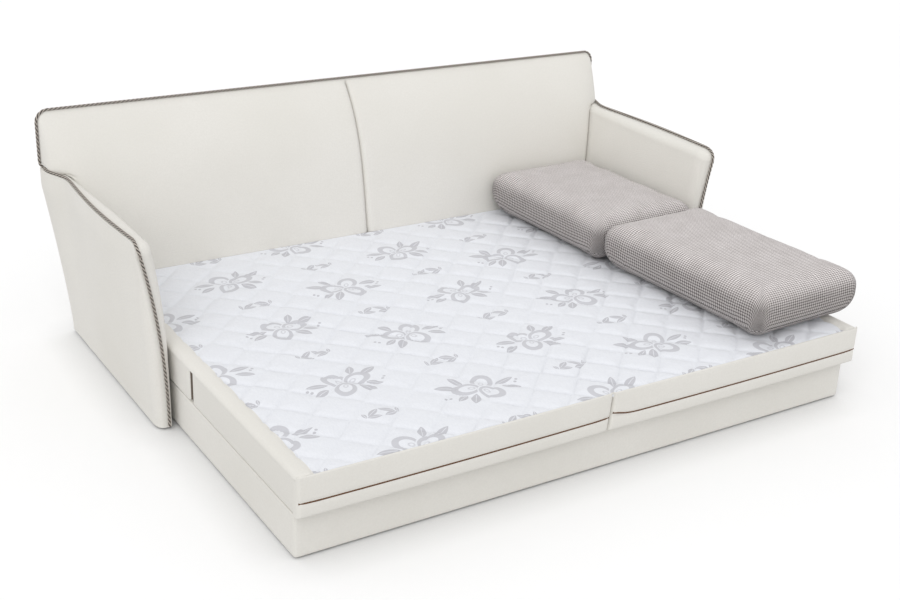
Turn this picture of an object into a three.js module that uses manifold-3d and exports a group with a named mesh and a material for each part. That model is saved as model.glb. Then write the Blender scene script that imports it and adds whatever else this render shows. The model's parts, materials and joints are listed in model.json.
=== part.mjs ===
// A three-seat sleeper sofa, shown with its bed made up. Millimetres; +X runs along the sofa,
// +Y towards its back and +Z up. The mattress is a book of two blocks: the front block folds up
// and over onto the rear block about a sewn hinge strip, and the base is a drawer that then
// slides back under them. Slats on the drawer pass between slats on the fixed frame.
import * as THREE from "three";
import { mergeVertices } from "three/addons/utils/BufferGeometryUtils.js";
import Module from "manifold-3d";

const wasm = await Module();
wasm.setup();

// The bed
const bedWidth = 2170;
const bedDepth = 1600;
const foldingDepth = 783;
const foldGap = 18;
const mattressThickness = 133;
const baseHeight = 155;
const borderDepth = 40;
const borderSplit = 4;
const borderBow = 5;
const borderEdge = 12;
const mattressEdge = 16;
const mattressCorner = 22;
const stripThickness = 4;
const stripDrop = 8;
const stripBite = 6.8;

// The sofa
const backDepth = 225;
const backTop = 866;
const backLean = 100;
const backCurl = 112;
const backSeamDip = 14;
const backSeamReach = 45;
const backCrown = 9;
const backWingReach = 132;
const backWingOver = 0.5;
const backCornerShare = 0.27;
const rearPanelThickness = 12;
const panelFloorGap = 12;

// The arms
const armLength = 897;
const armTop = 660;
const armBedGap = 9;
const armThickness = 54.5;
const armInnerFlare = 40;
const armFrontFlare = 39;
const armRearFlare = 73;
const armNoseDepth = 40;
const armNoseStrip = 3;
const armRidgeIn = 17;
const armRidgeLean = 76;
const armTopRound = 34;
const armNoseDrop = 24;
const armPanelThickness = 16;
const armPanelDrop = 100;
const armPanelMargin = 70;
const glideRadius = 17;
const glideHeight = 8;
const glideMargin = 60;

// Corded trim
const trimRadius = 6;
const trimFloorGap = 14;

// Timber frame
const timberThickness = 26;
const timberEdge = 3;
const frameClearOfFloor = 35;
const backFrameThickness = 32;
const backRailHeight = 55;
const backRailDrop = 70;
const backRailIn = 44;
const uprightWidth = 60;
const uprightInset = 55;
const beamSetBack = 99;
const beamDepth = 40;
const beamHeight = 25;
const legWidth = 44;
const slideRoom = 28;
const sideRailThickness = 25;
const sideRailHeight = 65;

// Slats
const slatThickness = 22;
const slatWidth = 140;
const slatFieldIn = 55;
const slatCount = 11;

// The drawer that carries the folded-out part
const drawerSetBack = 51;
const drawerInset = 7;
const drawerFrontThickness = 40;
const drawerSideThickness = 25;
const drawerFloorGap = 10;
const drawerEdge = 9;
const drawerCorner = 20;
const ledgerDepth = 58;
const tieDepth = 40;
const drawerEndRoom = 6;

// Runners
const runnerHeight = 45;
const runnerDepth = 14;
const runnerWall = 2.5;
const runnerZ = 67;
const runnerStart = 67;
const slideRun = 495;
const runnerPlay = 1;

// Castors
const castorIn = 278;
const wheelRadius = 30;
const wheelWidth = 22;
const wheelHubRadius = 11;
const treadRound = 5;
const axleRadius = 4;
const axleHeadRadius = 6.5;
const axleHeadDepth = 2;
const forkWall = 3;
const forkWidth = 34;
const forkPlateDepth = 50;
const wheelSidePlay = 1.5;

// Loose cushions
const cushionWidth = 520;
const cushionThickness = 188;
const rearCushionBackGap = 8;
const frontCushionSetBack = 12;
const cushionCorner = 62;
const cushionDraw = 7;
const cushionCrown = 20;
const cushionEdgeReach = 66;
const cushionEndReach = 84;
const rearCushionIn = 260;
const frontCushionIn = 213;
const rearCushionTurn = -0.5;
const frontCushionTurn = 2.4;
const cushionArmGap = 25;

// Fits
const seatGap = 0.3;
const trimGap = 0.9;
const softGap = 0.6;
const runGap = 0.4;
const cutOverrun = 5;
const weldDistance = 0.001;

// Worked out from the sizes above
const sofaDepth = bedDepth + backDepth;
const bedTop = baseHeight + mattressThickness;
const armFront = sofaDepth - armLength;
const armInnerFoot = bedWidth / 2 + armBedGap;
const armOuterFoot = armInnerFoot + armThickness;
const armRidgeFoot = armInnerFoot + armRidgeIn;
const armPanelTop = armTop - armPanelDrop;
const backRise = backTop - bedTop;
const backHalfWidth = armOuterFoot + armRearFlare + backWingOver;
const backRailTop = backTop - backRailDrop;
const backRailHalf = armInnerFoot - backRailIn;
const slatField = bedWidth - 2 * slatFieldIn;
const rearBlockFront = foldingDepth + foldGap;
const trimReach = trimRadius + trimGap;
const wingBottom = armTop + 2 * trimReach;
const backCornerRadius = (backTop - wingBottom) * backCornerShare;
const panelFront = sofaDepth - rearPanelThickness;
const frameRear = panelFront - seatGap;
const frameFront = frameRear - backFrameThickness;
const slatTop = baseHeight - seatGap;
const slatBottom = slatTop - slatThickness;
const beamTop = slatBottom - seatGap;
const drawerHalf = bedWidth / 2 - drawerInset;
const drawerInner = drawerHalf - drawerSideThickness;
const drawerBack = drawerSetBack + drawerFrontThickness;
const rearRailBack = frameFront - seatGap;
const rearRailFront = rearRailBack - timberThickness;
const drawerTravel = rearBlockFront - drawerBack - runGap;
const castorX = drawerHalf - castorIn;
const sideRailX = drawerInner - slideRoom - sideRailThickness;
const beamY = rearBlockFront + beamSetBack;
const rearCushionX = bedWidth / 2 - rearCushionIn;
const frontCushionX = bedWidth / 2 - frontCushionIn;
const cushionJoin = armFront - cushionArmGap;
const drawerSideReach = rearRailFront - drawerEndRoom - drawerTravel;

const finishes = {
  cream: new THREE.MeshStandardMaterial({ color: 0xe4e1db, roughness: 0.85, metalness: 0 }),
  quilt: new THREE.MeshStandardMaterial({ color: 0xe9e9ec, roughness: 0.75, metalness: 0 }),
  weave: new THREE.MeshStandardMaterial({ color: 0x9d9590, roughness: 0.95, metalness: 0 }),
  cord: new THREE.MeshStandardMaterial({ color: 0x6f655f, roughness: 0.9, metalness: 0 }),
  lining: new THREE.MeshStandardMaterial({ color: 0xcfcbc4, roughness: 0.95, metalness: 0 }),
  timber: new THREE.MeshStandardMaterial({ color: 0xc8a678, roughness: 0.7, metalness: 0 }),
  steel: new THREE.MeshStandardMaterial({ color: 0xb9bcc0, roughness: 0.35, metalness: 0.9 }),
  plastic: new THREE.MeshStandardMaterial({ color: 0x2b2b2c, roughness: 0.6, metalness: 0 }),
};

const sofa = new THREE.Group();
sofa.position.y = -sofaDepth / 2;

// A closed solid from a three.js geometry.
function solid(geometry) {
  const bare = geometry.index ? geometry.toNonIndexed() : geometry.clone();
  for (const name of Object.keys(bare.attributes)) {
    if (name !== "position") bare.deleteAttribute(name);
  }
  const merged = mergeVertices(bare, weldDistance);
  return new wasm.Manifold(
    new wasm.Mesh({
      numProp: 3,
      vertProperties: merged.attributes.position.array,
      triVerts: new Uint32Array(merged.index.array),
    }),
  );
}

// Adds a named piece, made from a geometry or from a solid.
function piece(name, shape, finish) {
  let geometry = shape;
  if (shape.getMesh) {
    const data = shape.getMesh();
    geometry = new THREE.BufferGeometry();
    geometry.setAttribute("position", new THREE.BufferAttribute(data.vertProperties, 3));
    geometry.setIndex(new THREE.BufferAttribute(data.triVerts, 1));
    geometry.computeVertexNormals();
  }
  const mesh = new THREE.Mesh(geometry, finish);
  mesh.name = name;
  sofa.add(mesh);
  return mesh;
}

const AXES = {
  x: new THREE.Matrix4().makeBasis(
    new THREE.Vector3(0, 1, 0),
    new THREE.Vector3(0, 0, 1),
    new THREE.Vector3(1, 0, 0),
  ),
  y: new THREE.Matrix4().makeBasis(
    new THREE.Vector3(1, 0, 0),
    new THREE.Vector3(0, 0, 1),
    new THREE.Vector3(0, -1, 0),
  ),
  z: new THREE.Matrix4(),
};

// A profile drawn in the two other axes and carried along one axis from low to high.
function carried(shape, axis, low, high, curveSegments = 4) {
  const settings = { depth: high - low, bevelEnabled: false, curveSegments };
  const geometry = new THREE.ExtrudeGeometry(shape, settings);
  geometry.applyMatrix4(AXES[axis]);
  if (axis === "x") geometry.translate(low, 0, 0);
  if (axis === "y") geometry.translate(0, high, 0);
  if (axis === "z") geometry.translate(0, 0, low);
  return geometry;
}

// A rectangle with rounded corners, between two corners.
function roundedRectangle([u0, u1], [v0, v1], radius) {
  const shape = new THREE.Shape();
  shape.moveTo(u0 + radius, v0);
  shape.lineTo(u1 - radius, v0);
  shape.absarc(u1 - radius, v0 + radius, radius, -Math.PI / 2, 0, false);
  shape.lineTo(u1, v1 - radius);
  shape.absarc(u1 - radius, v1 - radius, radius, 0, Math.PI / 2, false);
  shape.lineTo(u0 + radius, v1);
  shape.absarc(u0 + radius, v1 - radius, radius, Math.PI / 2, Math.PI, false);
  shape.lineTo(u0, v0 + radius);
  shape.absarc(u0 + radius, v0 + radius, radius, Math.PI, 1.5 * Math.PI, false);
  return shape;
}

// A planed board with eased edges, its length along one axis.
function board(x, y, z, along) {
  const sections = { x: [y, z], y: [x, z], z: [x, y] };
  const spans = { x, y, z };
  const [u, v] = sections[along];
  return carried(roundedRectangle(u, v, timberEdge), along, ...spans[along], 2);
}

// A plain block between low and high corners.
function block(x, y, z) {
  const geometry = new THREE.BoxGeometry(x[1] - x[0], y[1] - y[0], z[1] - z[0]);
  return geometry.translate((x[0] + x[1]) / 2, (y[0] + y[1]) / 2, (z[0] + z[1]) / 2);
}

// A closed skin over rings of points. The first and last ring close on their own middle, or on
// the points given for them.
function lofted(rings, firstMiddle, lastMiddle) {
  const count = rings[0].length;
  const middle = (ring) =>
    ring.reduce((sum, point) => sum.add(point), new THREE.Vector3()).divideScalar(count);
  const points = rings.flat();
  const first = points.length;
  points.push(firstMiddle ?? middle(rings[0]), lastMiddle ?? middle(rings.at(-1)));
  const faces = [];
  for (let i = 0; i < count; i += 1) {
    const next = (i + 1) % count;
    for (let k = 0; k + 1 < rings.length; k += 1) {
      const low = k * count;
      const high = low + count;
      faces.push(low + i, low + next, high + next, low + i, high + next, high + i);
    }
    const last = (rings.length - 1) * count;
    faces.push(first, next, i, first + 1, last + i, last + next);
  }
  let volume = 0;
  for (let f = 0; f < faces.length; f += 3) {
    const [a, b, c] = [points[faces[f]], points[faces[f + 1]], points[faces[f + 2]]];
    volume += new THREE.Vector3().crossVectors(b, c).dot(a);
  }
  if (volume < 0) faces.reverse();
  const geometry = new THREE.BufferGeometry().setFromPoints(points);
  geometry.setIndex(faces);
  geometry.computeVertexNormals();
  return geometry;
}

// One level outline of a padded form: a rectangle whose corners are round and whose sides are
// drawn in, or bowed out, between its corners.
function padOutline(halfLength, halfWidth, corner, draw, sidePoints, z) {
  const outline = [];
  const cornerSteps = 4;
  const corners = [
    [1, 1, 0],
    [-1, 1, 1],
    [-1, -1, 2],
    [1, -1, 3],
  ];
  const middleX = halfLength - corner;
  const middleY = halfWidth - corner;
  corners.forEach(([signX, signY, quarter]) => {
    for (let step = 0; step <= cornerSteps; step += 1) {
      const angle = ((quarter + step / cornerSteps) * Math.PI) / 2;
      const x = signX * middleX + corner * Math.cos(angle);
      const y = signY * middleY + corner * Math.sin(angle);
      outline.push(new THREE.Vector3(x, y, z));
    }
    const alongX = quarter % 2 === 0;
    for (let step = 1; step <= sidePoints; step += 1) {
      const share = step / (sidePoints + 1);
      const pull = draw * Math.sin(Math.PI * share);
      const x = alongX ? signX * middleX * (1 - 2 * share) : signX * (halfLength - pull);
      const y = alongX ? signY * (halfWidth - pull) : signY * middleY * (1 - 2 * share);
      outline.push(new THREE.Vector3(x, y, z));
    }
  });
  return outline;
}

// A padded form that stands on z = 0, centred on X and Y: edges round over a reach on the sides
// and another on the ends, and the top has a crown.
function padded(form) {
  const { length, width, thickness, corner, draw = 0, crown = 0, sidePoints = 0 } = form;
  const { sideReach, endReach = sideReach, edgeSteps = 3, crownSteps = 0 } = form;
  const shoulder = thickness - crown;
  const middle = shoulder / 2;
  const rings = [];
  const ring = (inShare, z) => {
    const lengthHere = length / 2 - endReach * inShare;
    const widthHere = width / 2 - sideReach * inShare;
    const cornerHere = Math.max(corner * (1 - inShare), corner / 4);
    rings.push(padOutline(lengthHere, widthHere, cornerHere, draw, sidePoints, z));
  };
  for (let step = 0; step <= edgeSteps; step += 1) {
    const turn = ((step / edgeSteps) * Math.PI) / 2;
    ring(1 - Math.sin(turn), middle * (1 - Math.cos(turn)));
  }
  for (let step = 1; step <= edgeSteps; step += 1) {
    const turn = ((step / edgeSteps) * Math.PI) / 2;
    ring(1 - Math.cos(turn), middle + middle * Math.sin(turn));
  }
  const rim = rings.at(-1);
  for (let step = 1; step <= crownSteps; step += 1) {
    const share = step / (crownSteps + 1);
    const z = shoulder + crown * (1 - (1 - share) ** 2);
    rings.push(rim.map((point) => new THREE.Vector3(point.x * (1 - share), point.y * (1 - share), z)));
  }
  return lofted(rings, new THREE.Vector3(0, 0, 0), new THREE.Vector3(0, 0, thickness));
}

// A slab with soft edges between low and high corners.
function softSlab(x, y, z, edge, corner, draw = 0, sidePoints = 0) {
  const geometry = padded({
    length: x[1] - x[0],
    width: y[1] - y[0],
    thickness: z[1] - z[0],
    corner,
    draw,
    sidePoints,
    sideReach: edge,
  });
  return geometry.translate((x[0] + x[1]) / 2, (y[0] + y[1]) / 2, z[0]);
}

// A round cord along a line of points. Each ring stands square to the line, turned by a
// direction that the line never follows.
function swept(points, across) {
  const sides = 8;
  const rings = points.map((point, i) => {
    const before = points[Math.max(i - 1, 0)];
    const after = points[Math.min(i + 1, points.length - 1)];
    const along = new THREE.Vector3().subVectors(after, before).normalize();
    const out = across.clone().addScaledVector(along, -across.dot(along)).normalize();
    const up = new THREE.Vector3().crossVectors(along, out);
    return Array.from({ length: sides }, (_, k) => {
      const angle = (2 * Math.PI * k) / sides;
      const ring = point.clone().addScaledVector(out, trimRadius * Math.cos(angle));
      return ring.addScaledVector(up, trimRadius * Math.sin(angle));
    });
  });
  return lofted(rings);
}

// Mattress: two blocks, a bordered front edge in two halves, and the strip they fold on
function addMattress() {
  const half = bedWidth / 2;
  const z = [baseHeight, bedTop];
  const blocks = {
    rear_mattress: [rearBlockFront, bedDepth - softGap],
    front_mattress: [borderDepth, foldingDepth],
  };
  for (const [name, y] of Object.entries(blocks)) {
    piece(name, softSlab([-half, half], y, z, mattressEdge, mattressCorner), finishes.quilt);
  }
  const halves = {
    front_border_left: [-half, -borderSplit / 2],
    front_border_right: [borderSplit / 2, half],
  };
  const bowPoints = 5;
  for (const [name, x] of Object.entries(halves)) {
    const y = [borderBow, borderDepth - seatGap];
    const slab = softSlab(x, y, z, borderEdge, borderEdge, -borderBow, bowPoints);
    const rearCut = block(x, [0, borderDepth - seatGap], z);
    piece(name, solid(slab).intersect(solid(rearCut)), finishes.cream);
  }
  const stripX = [-half + mattressCorner, half - mattressCorner];
  const stripY = [foldingDepth - stripBite, rearBlockFront + stripBite];
  const stripZ = [bedTop - stripDrop - stripThickness, bedTop - stripDrop];
  piece("hinge_strip", block(stripX, stripY, stripZ), finishes.lining);
}

// Front of the back pads at a height, before the crown across their width
function backFace(z) {
  const share = Math.max(0, (z - (backTop - backRise)) / backRise);
  const curlPower = 4;
  return bedDepth + backLean * share + backCurl * share ** curlPower;
}

// How far the pad stands forward of the rear panel at a distance from the middle, as a share
function wingShare(x) {
  const edgeShare = 0.35;
  const reach = Math.max(0, (x - (backHalfWidth - backWingReach)) / backWingReach);
  return edgeShare + (1 - edgeShare) * Math.sqrt(Math.max(0, 1 - reach ** 2));
}

// The outline of half the back, seen from the front: it stands between the arms and its wings
// reach out over them.
function backOutline(side, middleX, bottom, inset) {
  const innerAt = (z) => armInnerFoot + armInnerFlare * (z / armTop) - softGap - inset;
  const outer = backHalfWidth - inset;
  const radius = backCornerRadius;
  const points = [
    [middleX, bottom],
    [innerAt(bottom), bottom],
    [innerAt(wingBottom), wingBottom],
  ];
  const arc = (centreX, centreZ, from) => {
    const steps = 4;
    for (let step = 0; step <= steps; step += 1) {
      const angle = from + ((step / steps) * Math.PI) / 2;
      points.push([centreX + radius * Math.cos(angle), centreZ + radius * Math.sin(angle)]);
    }
  };
  arc(outer - radius, wingBottom + radius, -Math.PI / 2);
  arc(outer - radius, backTop - inset - radius, 0);
  points.push([middleX, backTop - inset]);
  return new THREE.Shape(points.map(([x, z]) => new THREE.Vector2(side * x, z)));
}

// Back: a pad on each side of the middle seam, the timber frame behind them and the rear panel
function addBack() {
  const bottom = baseHeight + seatGap;
  const middleShares = [0, 0.3, 0.6, 0.85];
  const wingShares = [0, 0.35, 0.62, 0.82, 0.95, 1];
  const seamShares = [0, 0.15, 0.45];
  const wingStart = backHalfWidth - backWingReach;
  const stations = [
    ...seamShares.map((share) => softGap + share * backSeamReach),
    ...middleShares.map((share) => backSeamReach + share * (wingStart - backSeamReach)),
    ...wingShares.map((share) => wingStart + share * backWingReach),
  ];
  const heightSteps = 12;
  const heightPower = 1.4;
  for (const [word, side] of [["left", -1], ["right", 1]]) {
    const rings = stations.map((x) => {
      const toSeam = Math.max(0, 1 - x / backSeamReach);
      const dip = backSeamDip * (1 - Math.sqrt(1 - toSeam ** 2));
      const crown = backCrown * Math.sin((Math.PI * x) / backHalfWidth);
      const ring = [];
      for (let step = 0; step <= heightSteps; step += 1) {
        const share = 1 - (1 - step / heightSteps) ** heightPower;
        const z = bottom + share * (backTop - bottom);
        const aboveBed = Math.max(0, (z - bedTop) / (backTop - bedTop));
        const crownHere = crown * Math.sin(Math.PI * aboveBed);
        const face = Math.min(panelFront, backFace(z) + dip - crownHere);
        const y = panelFront - (panelFront - face) * wingShare(x) - seatGap;
        ring.push(new THREE.Vector3(side * x, Math.min(y, frameRear - seatGap), z));
      }
      ring.push(new THREE.Vector3(side * x, frameRear, backTop));
      ring.push(new THREE.Vector3(side * x, frameRear, bottom));
      return ring;
    });
    const middleOf = (x) => new THREE.Vector3(side * x, frameRear - backFrameThickness / 4, backTop / 2);
    const form = solid(lofted(rings, middleOf(stations[0]), middleOf(stations.at(-1))));
    const outline = backOutline(side, softGap, bottom, 0);
    const cut = solid(carried(outline, "y", bedDepth - 2 * backCrown, sofaDepth));
    const pocketX = [-backRailHalf - softGap, backRailHalf + softGap];
    const pocket = solid(block(pocketX, [frameFront - seatGap, sofaDepth], [0, backRailTop + softGap]));
    piece(`back_pad_${word}`, form.intersect(cut).subtract(pocket), finishes.cream);
  }

  const y = [frameFront, frameRear];
  const railX = [-backRailHalf, backRailHalf];
  const railZ = [backRailTop - backRailHeight, backRailTop];
  piece("back_top_rail", board(railX, y, railZ, "x"), finishes.timber);
  const uprightX = backRailHalf - uprightInset;
  for (const [word, x] of [["left", -uprightX], ["centre", 0], ["right", uprightX]]) {
    const span = [x - uprightWidth / 2, x + uprightWidth / 2];
    const z = [0, railZ[0] - seatGap];
    piece(`back_upright_${word}`, board(span, y, z, "z"), finishes.timber);
  }

  const halves = [-1, 1].map((side) => {
    const outline = backOutline(side, -cutOverrun, panelFloorGap, 0);
    return solid(carried(outline, "y", panelFront, sofaDepth));
  });
  piece("rear_panel", halves[0].add(halves[1]), finishes.cream);
}

// Where the arm's outer face stands at a height, with the flare it has at that depth
function armOuterAt(share, flare) {
  const straightShare = 0.9;
  const bendPower = 1.3;
  return armOuterFoot + flare * Math.min(1, share / straightShare) ** bendPower;
}

// The ridge down the arm's nose, which carries the trim
function armRidgeAt(share) {
  const bendPower = 2.2;
  return armRidgeFoot + armRidgeLean * share ** bendPower;
}

// Arms: a padded cover over a leaning timber panel, on two glides each
function addArms() {
  const rear = sofaDepth - seatGap;
  const noseTurns = [0, 0.25, 0.5, 0.75, 1];
  const heightShares = [0, 0.2, 0.4, 0.56, 0.72, 0.84, 0.93, 1];
  const roundTurns = [0.25, 0.5, 0.75];
  const sharpShare = 0.3;
  const bottom = glideHeight + seatGap;
  for (const [word, side] of [["left", -1], ["right", 1]]) {
    const section = (y, nose, flare) => {
      const top = armTop - armNoseDrop * (1 - nose);
      const ring = [];
      const outerAt = (share) => {
        const ridge = armRidgeAt(share) + armNoseStrip;
        return ridge + (armOuterAt(share, flare) - ridge) * nose;
      };
      const innerAt = (share) => {
        const ridge = armRidgeAt(share) - armNoseStrip;
        return ridge + (armInnerFoot + armInnerFlare * share - ridge) * nose;
      };
      for (const share of heightShares) {
        ring.push(new THREE.Vector3(side * outerAt(share), y, bottom + share * (top - bottom)));
      }
      const roundWide = Math.min(armTopRound, outerAt(1) - innerAt(1) - armNoseStrip);
      const roundHigh = armTopRound * (sharpShare + (1 - sharpShare) * nose);
      for (const turn of [0, ...roundTurns, 1]) {
        const angle = (turn * Math.PI) / 2;
        const x = innerAt(1) + roundWide * (1 - Math.sin(angle));
        const z = top - roundHigh * (1 - Math.cos(angle));
        ring.push(new THREE.Vector3(side * x, y, z));
      }
      for (const share of [...heightShares].reverse()) {
        const z = bottom + share * (top - bottom);
        if (z < top - roundHigh) ring.push(new THREE.Vector3(side * innerAt(share), y, z));
      }
      return ring;
    };
    const rings = noseTurns.map((turn) => {
      const angle = (turn * Math.PI) / 2;
      return section(armFront + armNoseDepth * (1 - Math.cos(angle)), Math.sin(angle), armFrontFlare);
    });
    const bodyShares = [0.5, 0.8, 1];
    for (const share of bodyShares) {
      const y = armFront + armNoseDepth + share * (rear - armFront - armNoseDepth);
      rings.push(section(y, 1, armFrontFlare + (armRearFlare - armFrontFlare) * share ** 2));
    }
    const cover = solid(lofted(rings));

    const panelShape = (grow) => {
      const lean = armInnerFlare / armTop;
      const foot = (armInnerFoot + armOuterFoot) / 2 - armPanelThickness / 2;
      const low = glideHeight + seatGap - (grow ? cutOverrun : 0);
      const high = armPanelTop + grow;
      const at = (z, offset) => new THREE.Vector2(side * (foot + lean * z + offset), z);
      const offsets = [-grow, armPanelThickness + grow];
      const corners = [[low, 0], [low, 1], [high, 1], [high, 0]];
      return new THREE.Shape(corners.map(([z, which]) => at(z, offsets[which])));
    };
    const panelY = [armFront + armPanelMargin, rear - armPanelMargin];
    const panel = carried(panelShape(0), "y", ...panelY);
    const pocket = carried(panelShape(seatGap), "y", panelY[0] - seatGap, panelY[1] + seatGap);
    piece(`arm_cover_${word}`, cover.subtract(solid(pocket)), finishes.cream);
    piece(`arm_panel_${word}`, panel, finishes.timber);

    const glideX = side * ((armInnerFoot + armOuterFoot) / 2);
    const glideY = {
      front: panelY[0] + glideMargin,
      rear: panelY[1] - glideMargin,
    };
    for (const [place, y] of Object.entries(glideY)) {
      const glide = new THREE.CylinderGeometry(glideRadius, glideRadius, glideHeight, 20);
      glide.rotateX(Math.PI / 2).translate(glideX, y, glideHeight / 2);
      piece(`glide_${word}_${place}`, glide, finishes.plastic);
    }
  }
}

// Corded trim: round the wings and top of the back, and along each arm and down its nose
function addTrim() {
  const y = frameRear - seatGap;
  const outer = backHalfWidth + trimReach;
  const top = backTop + trimReach;
  const radius = backCornerRadius + trimReach;
  const low = wingBottom - trimReach;
  const half = [];
  const corner = (centreX, centreZ, from, turn) => {
    const steps = 6;
    for (let step = 0; step <= steps; step += 1) {
      const angle = from + (step / steps) * turn;
      half.push([centreX + radius * Math.cos(angle), centreZ + radius * Math.sin(angle)]);
    }
  };
  corner(outer - radius, low + radius, -Math.PI / 4, Math.PI / 4);
  half.push([outer, (low + top) / 2]);
  corner(outer - radius, top - radius, 0, Math.PI / 2);
  half.push([backHalfWidth / 2, top]);
  const right = half.map(([x, z]) => new THREE.Vector3(x, y, z));
  const left = half.map(([x, z]) => new THREE.Vector3(-x, y, z)).reverse();
  const route = [...right, new THREE.Vector3(0, y, top), ...left];
  piece("back_trim", swept(route, new THREE.Vector3(0, 1, 0)), finishes.cord);

  const bodyStart = armFront + armNoseDepth;
  const rearEnd = frameRear - 2 * trimReach;
  const topZ = armTop + trimReach;
  const topX = armOuterFoot + armFrontFlare - trimRadius;
  const points = [];
  const topShares = [1, 0.85, 0.7, 0.55, 0.4, 0.25, 0.1];
  for (const share of topShares) {
    const flare = (armRearFlare - armFrontFlare) * share ** 2;
    points.push([topX + flare, bodyStart + share * (rearEnd - bodyStart), topZ]);
  }
  const noseSteps = 6;
  for (let step = 0; step <= noseSteps; step += 1) {
    const angle = ((step / noseSteps) * Math.PI) / 2;
    const depth = bodyStart - (armNoseDepth + trimReach) * Math.sin(angle);
    const z = topZ - (armNoseDrop + trimReach) * (1 - Math.cos(angle));
    points.push([armRidgeAt(z / topZ), depth, z]);
  }
  const noseShares = [0.84, 0.7, 0.56, 0.42, 0.28, 0.14, 0];
  for (const share of noseShares) {
    const z = trimFloorGap + share * (armTop - trimFloorGap);
    points.push([armRidgeAt(z / armTop), armFront - trimReach, z]);
  }
  for (const [word, side] of [["left", -1], ["right", 1]]) {
    const line = points.map(([x, depth, z]) => new THREE.Vector3(side * x, depth, z));
    piece(`arm_trim_${word}`, swept(line, new THREE.Vector3(1, 0, 0)), finishes.cord);
  }
}

// Which slats stand where: even places are fixed, odd places slide out with the drawer
function slatPlaces() {
  const pitch = (slatField - slatWidth) / (slatCount - 1);
  const places = Array.from({ length: slatCount }, (_, i) => (slatWidth - slatField) / 2 + i * pitch);
  return { fixed: places.filter((_, i) => i % 2 === 0), pulled: places.filter((_, i) => i % 2 === 1) };
}

// A row of slats between two depths
function addSlats(name, places, y) {
  places.forEach((x, i) => {
    const span = [x - slatWidth / 2, x + slatWidth / 2];
    piece(`${name}_${i + 1}`, board(span, y, [slatBottom, slatTop], "y"), finishes.timber);
  });
}

// Fixed frame under the rear block
function addFixedFrame() {
  const beamZ = [beamTop - beamHeight, beamTop];
  const beam = [beamY, beamY + beamDepth];
  const rearRailY = [rearRailFront, rearRailBack];
  const railX = [-sideRailX - sideRailThickness, sideRailX + sideRailThickness];
  piece("base_front_beam", board(railX, beam, beamZ, "x"), finishes.timber);
  const reach = armInnerFoot - seatGap;
  const rearRailZ = [frameClearOfFloor, beamTop];
  piece("base_rear_rail", board([-reach, reach], rearRailY, rearRailZ, "x"), finishes.timber);
  for (const [word, side] of [["left", -1], ["right", 1]]) {
    const edges = [side * sideRailX, side * (sideRailX + sideRailThickness)].sort((a, b) => a - b);
    const z = [frameClearOfFloor, frameClearOfFloor + sideRailHeight];
    const y = [beamY, rearRailY[0] - seatGap];
    piece(`base_side_rail_${word}`, board(edges, y, z, "y"), finishes.timber);
  }
  const legX = sideRailX - legWidth / 2 - seatGap;
  for (const [word, x] of [["left", -legX], ["centre", 0], ["right", legX]]) {
    const span = [x - legWidth / 2, x + legWidth / 2];
    piece(`base_leg_${word}`, board(span, beam, [0, beamZ[0] - seatGap], "z"), finishes.timber);
  }
  addSlats("fixed_slat", slatPlaces().fixed, [rearBlockFront, rearRailBack - timberEdge]);
}

// The drawer: padded front, sides, the ledger and tie that carry its slats
function addDrawer() {
  const z = [drawerFloorGap, slatTop];
  const frontX = [-drawerHalf, drawerHalf];
  const frontY = [drawerSetBack, drawerBack];
  piece("drawer_front", softSlab(frontX, frontY, z, drawerEdge, drawerCorner), finishes.cream);
  const sideY = [drawerBack + seatGap, drawerSideReach];
  for (const [word, side] of [["left", -1], ["right", 1]]) {
    const x = [side * drawerInner, side * drawerHalf].sort((a, b) => a - b);
    piece(`drawer_side_${word}`, board(x, sideY, z, "y"), finishes.cream);
  }
  const inner = drawerInner - seatGap;
  const crossZ = [beamTop - beamHeight, beamTop];
  const ledgerY = [drawerBack + seatGap, drawerBack + ledgerDepth];
  const tieY = [drawerSideReach - timberEdge - tieDepth, drawerSideReach - timberEdge];
  piece("slat_ledger", board([-inner, inner], ledgerY, crossZ, "x"), finishes.timber);
  piece("slat_tie", board([-inner, inner], tieY, crossZ, "x"), finishes.timber);
  addSlats("drawer_slat", slatPlaces().pulled, [drawerBack + 2 * seatGap, tieY[1]]);
}

// Runners: a channel on each fixed side rail, and a lighter channel on the drawer inside it
function addRunners() {
  const railFace = sideRailX + sideRailThickness + seatGap;
  const frontEnd = rearBlockFront + runnerStart;
  const rearEnd = rearRailFront - drawerEndRoom;
  const channel = (side, back, mouth, height, wall) => {
    const points = [
      [back, height / 2],
      [mouth, height / 2],
      [mouth, height / 2 - wall],
      [back + Math.sign(mouth - back) * wall, height / 2 - wall],
      [back + Math.sign(mouth - back) * wall, wall - height / 2],
      [mouth, wall - height / 2],
      [mouth, -height / 2],
      [back, -height / 2],
    ];
    const shape = points.map(([x, z]) => new THREE.Vector2(side * x, runnerZ + z));
    return new THREE.Shape(shape);
  };
  for (const [word, side] of [["left", -1], ["right", 1]]) {
    const rail = channel(side, railFace, railFace + runnerDepth, runnerHeight, runnerWall);
    piece(`runner_rail_${word}`, carried(rail, "y", frontEnd, rearEnd), finishes.steel);
    const back = railFace + runnerWall + runnerPlay;
    const height = runnerHeight - 2 * runnerWall - 2 * runnerPlay;
    const slide = channel(side, back, drawerInner - seatGap, height, runnerWall);
    const slideY = [drawerSideReach - runnerPlay - slideRun, drawerSideReach - runnerPlay];
    piece(`runner_slide_${word}`, carried(slide, "y", ...slideY), finishes.steel);
  }
}

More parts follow.
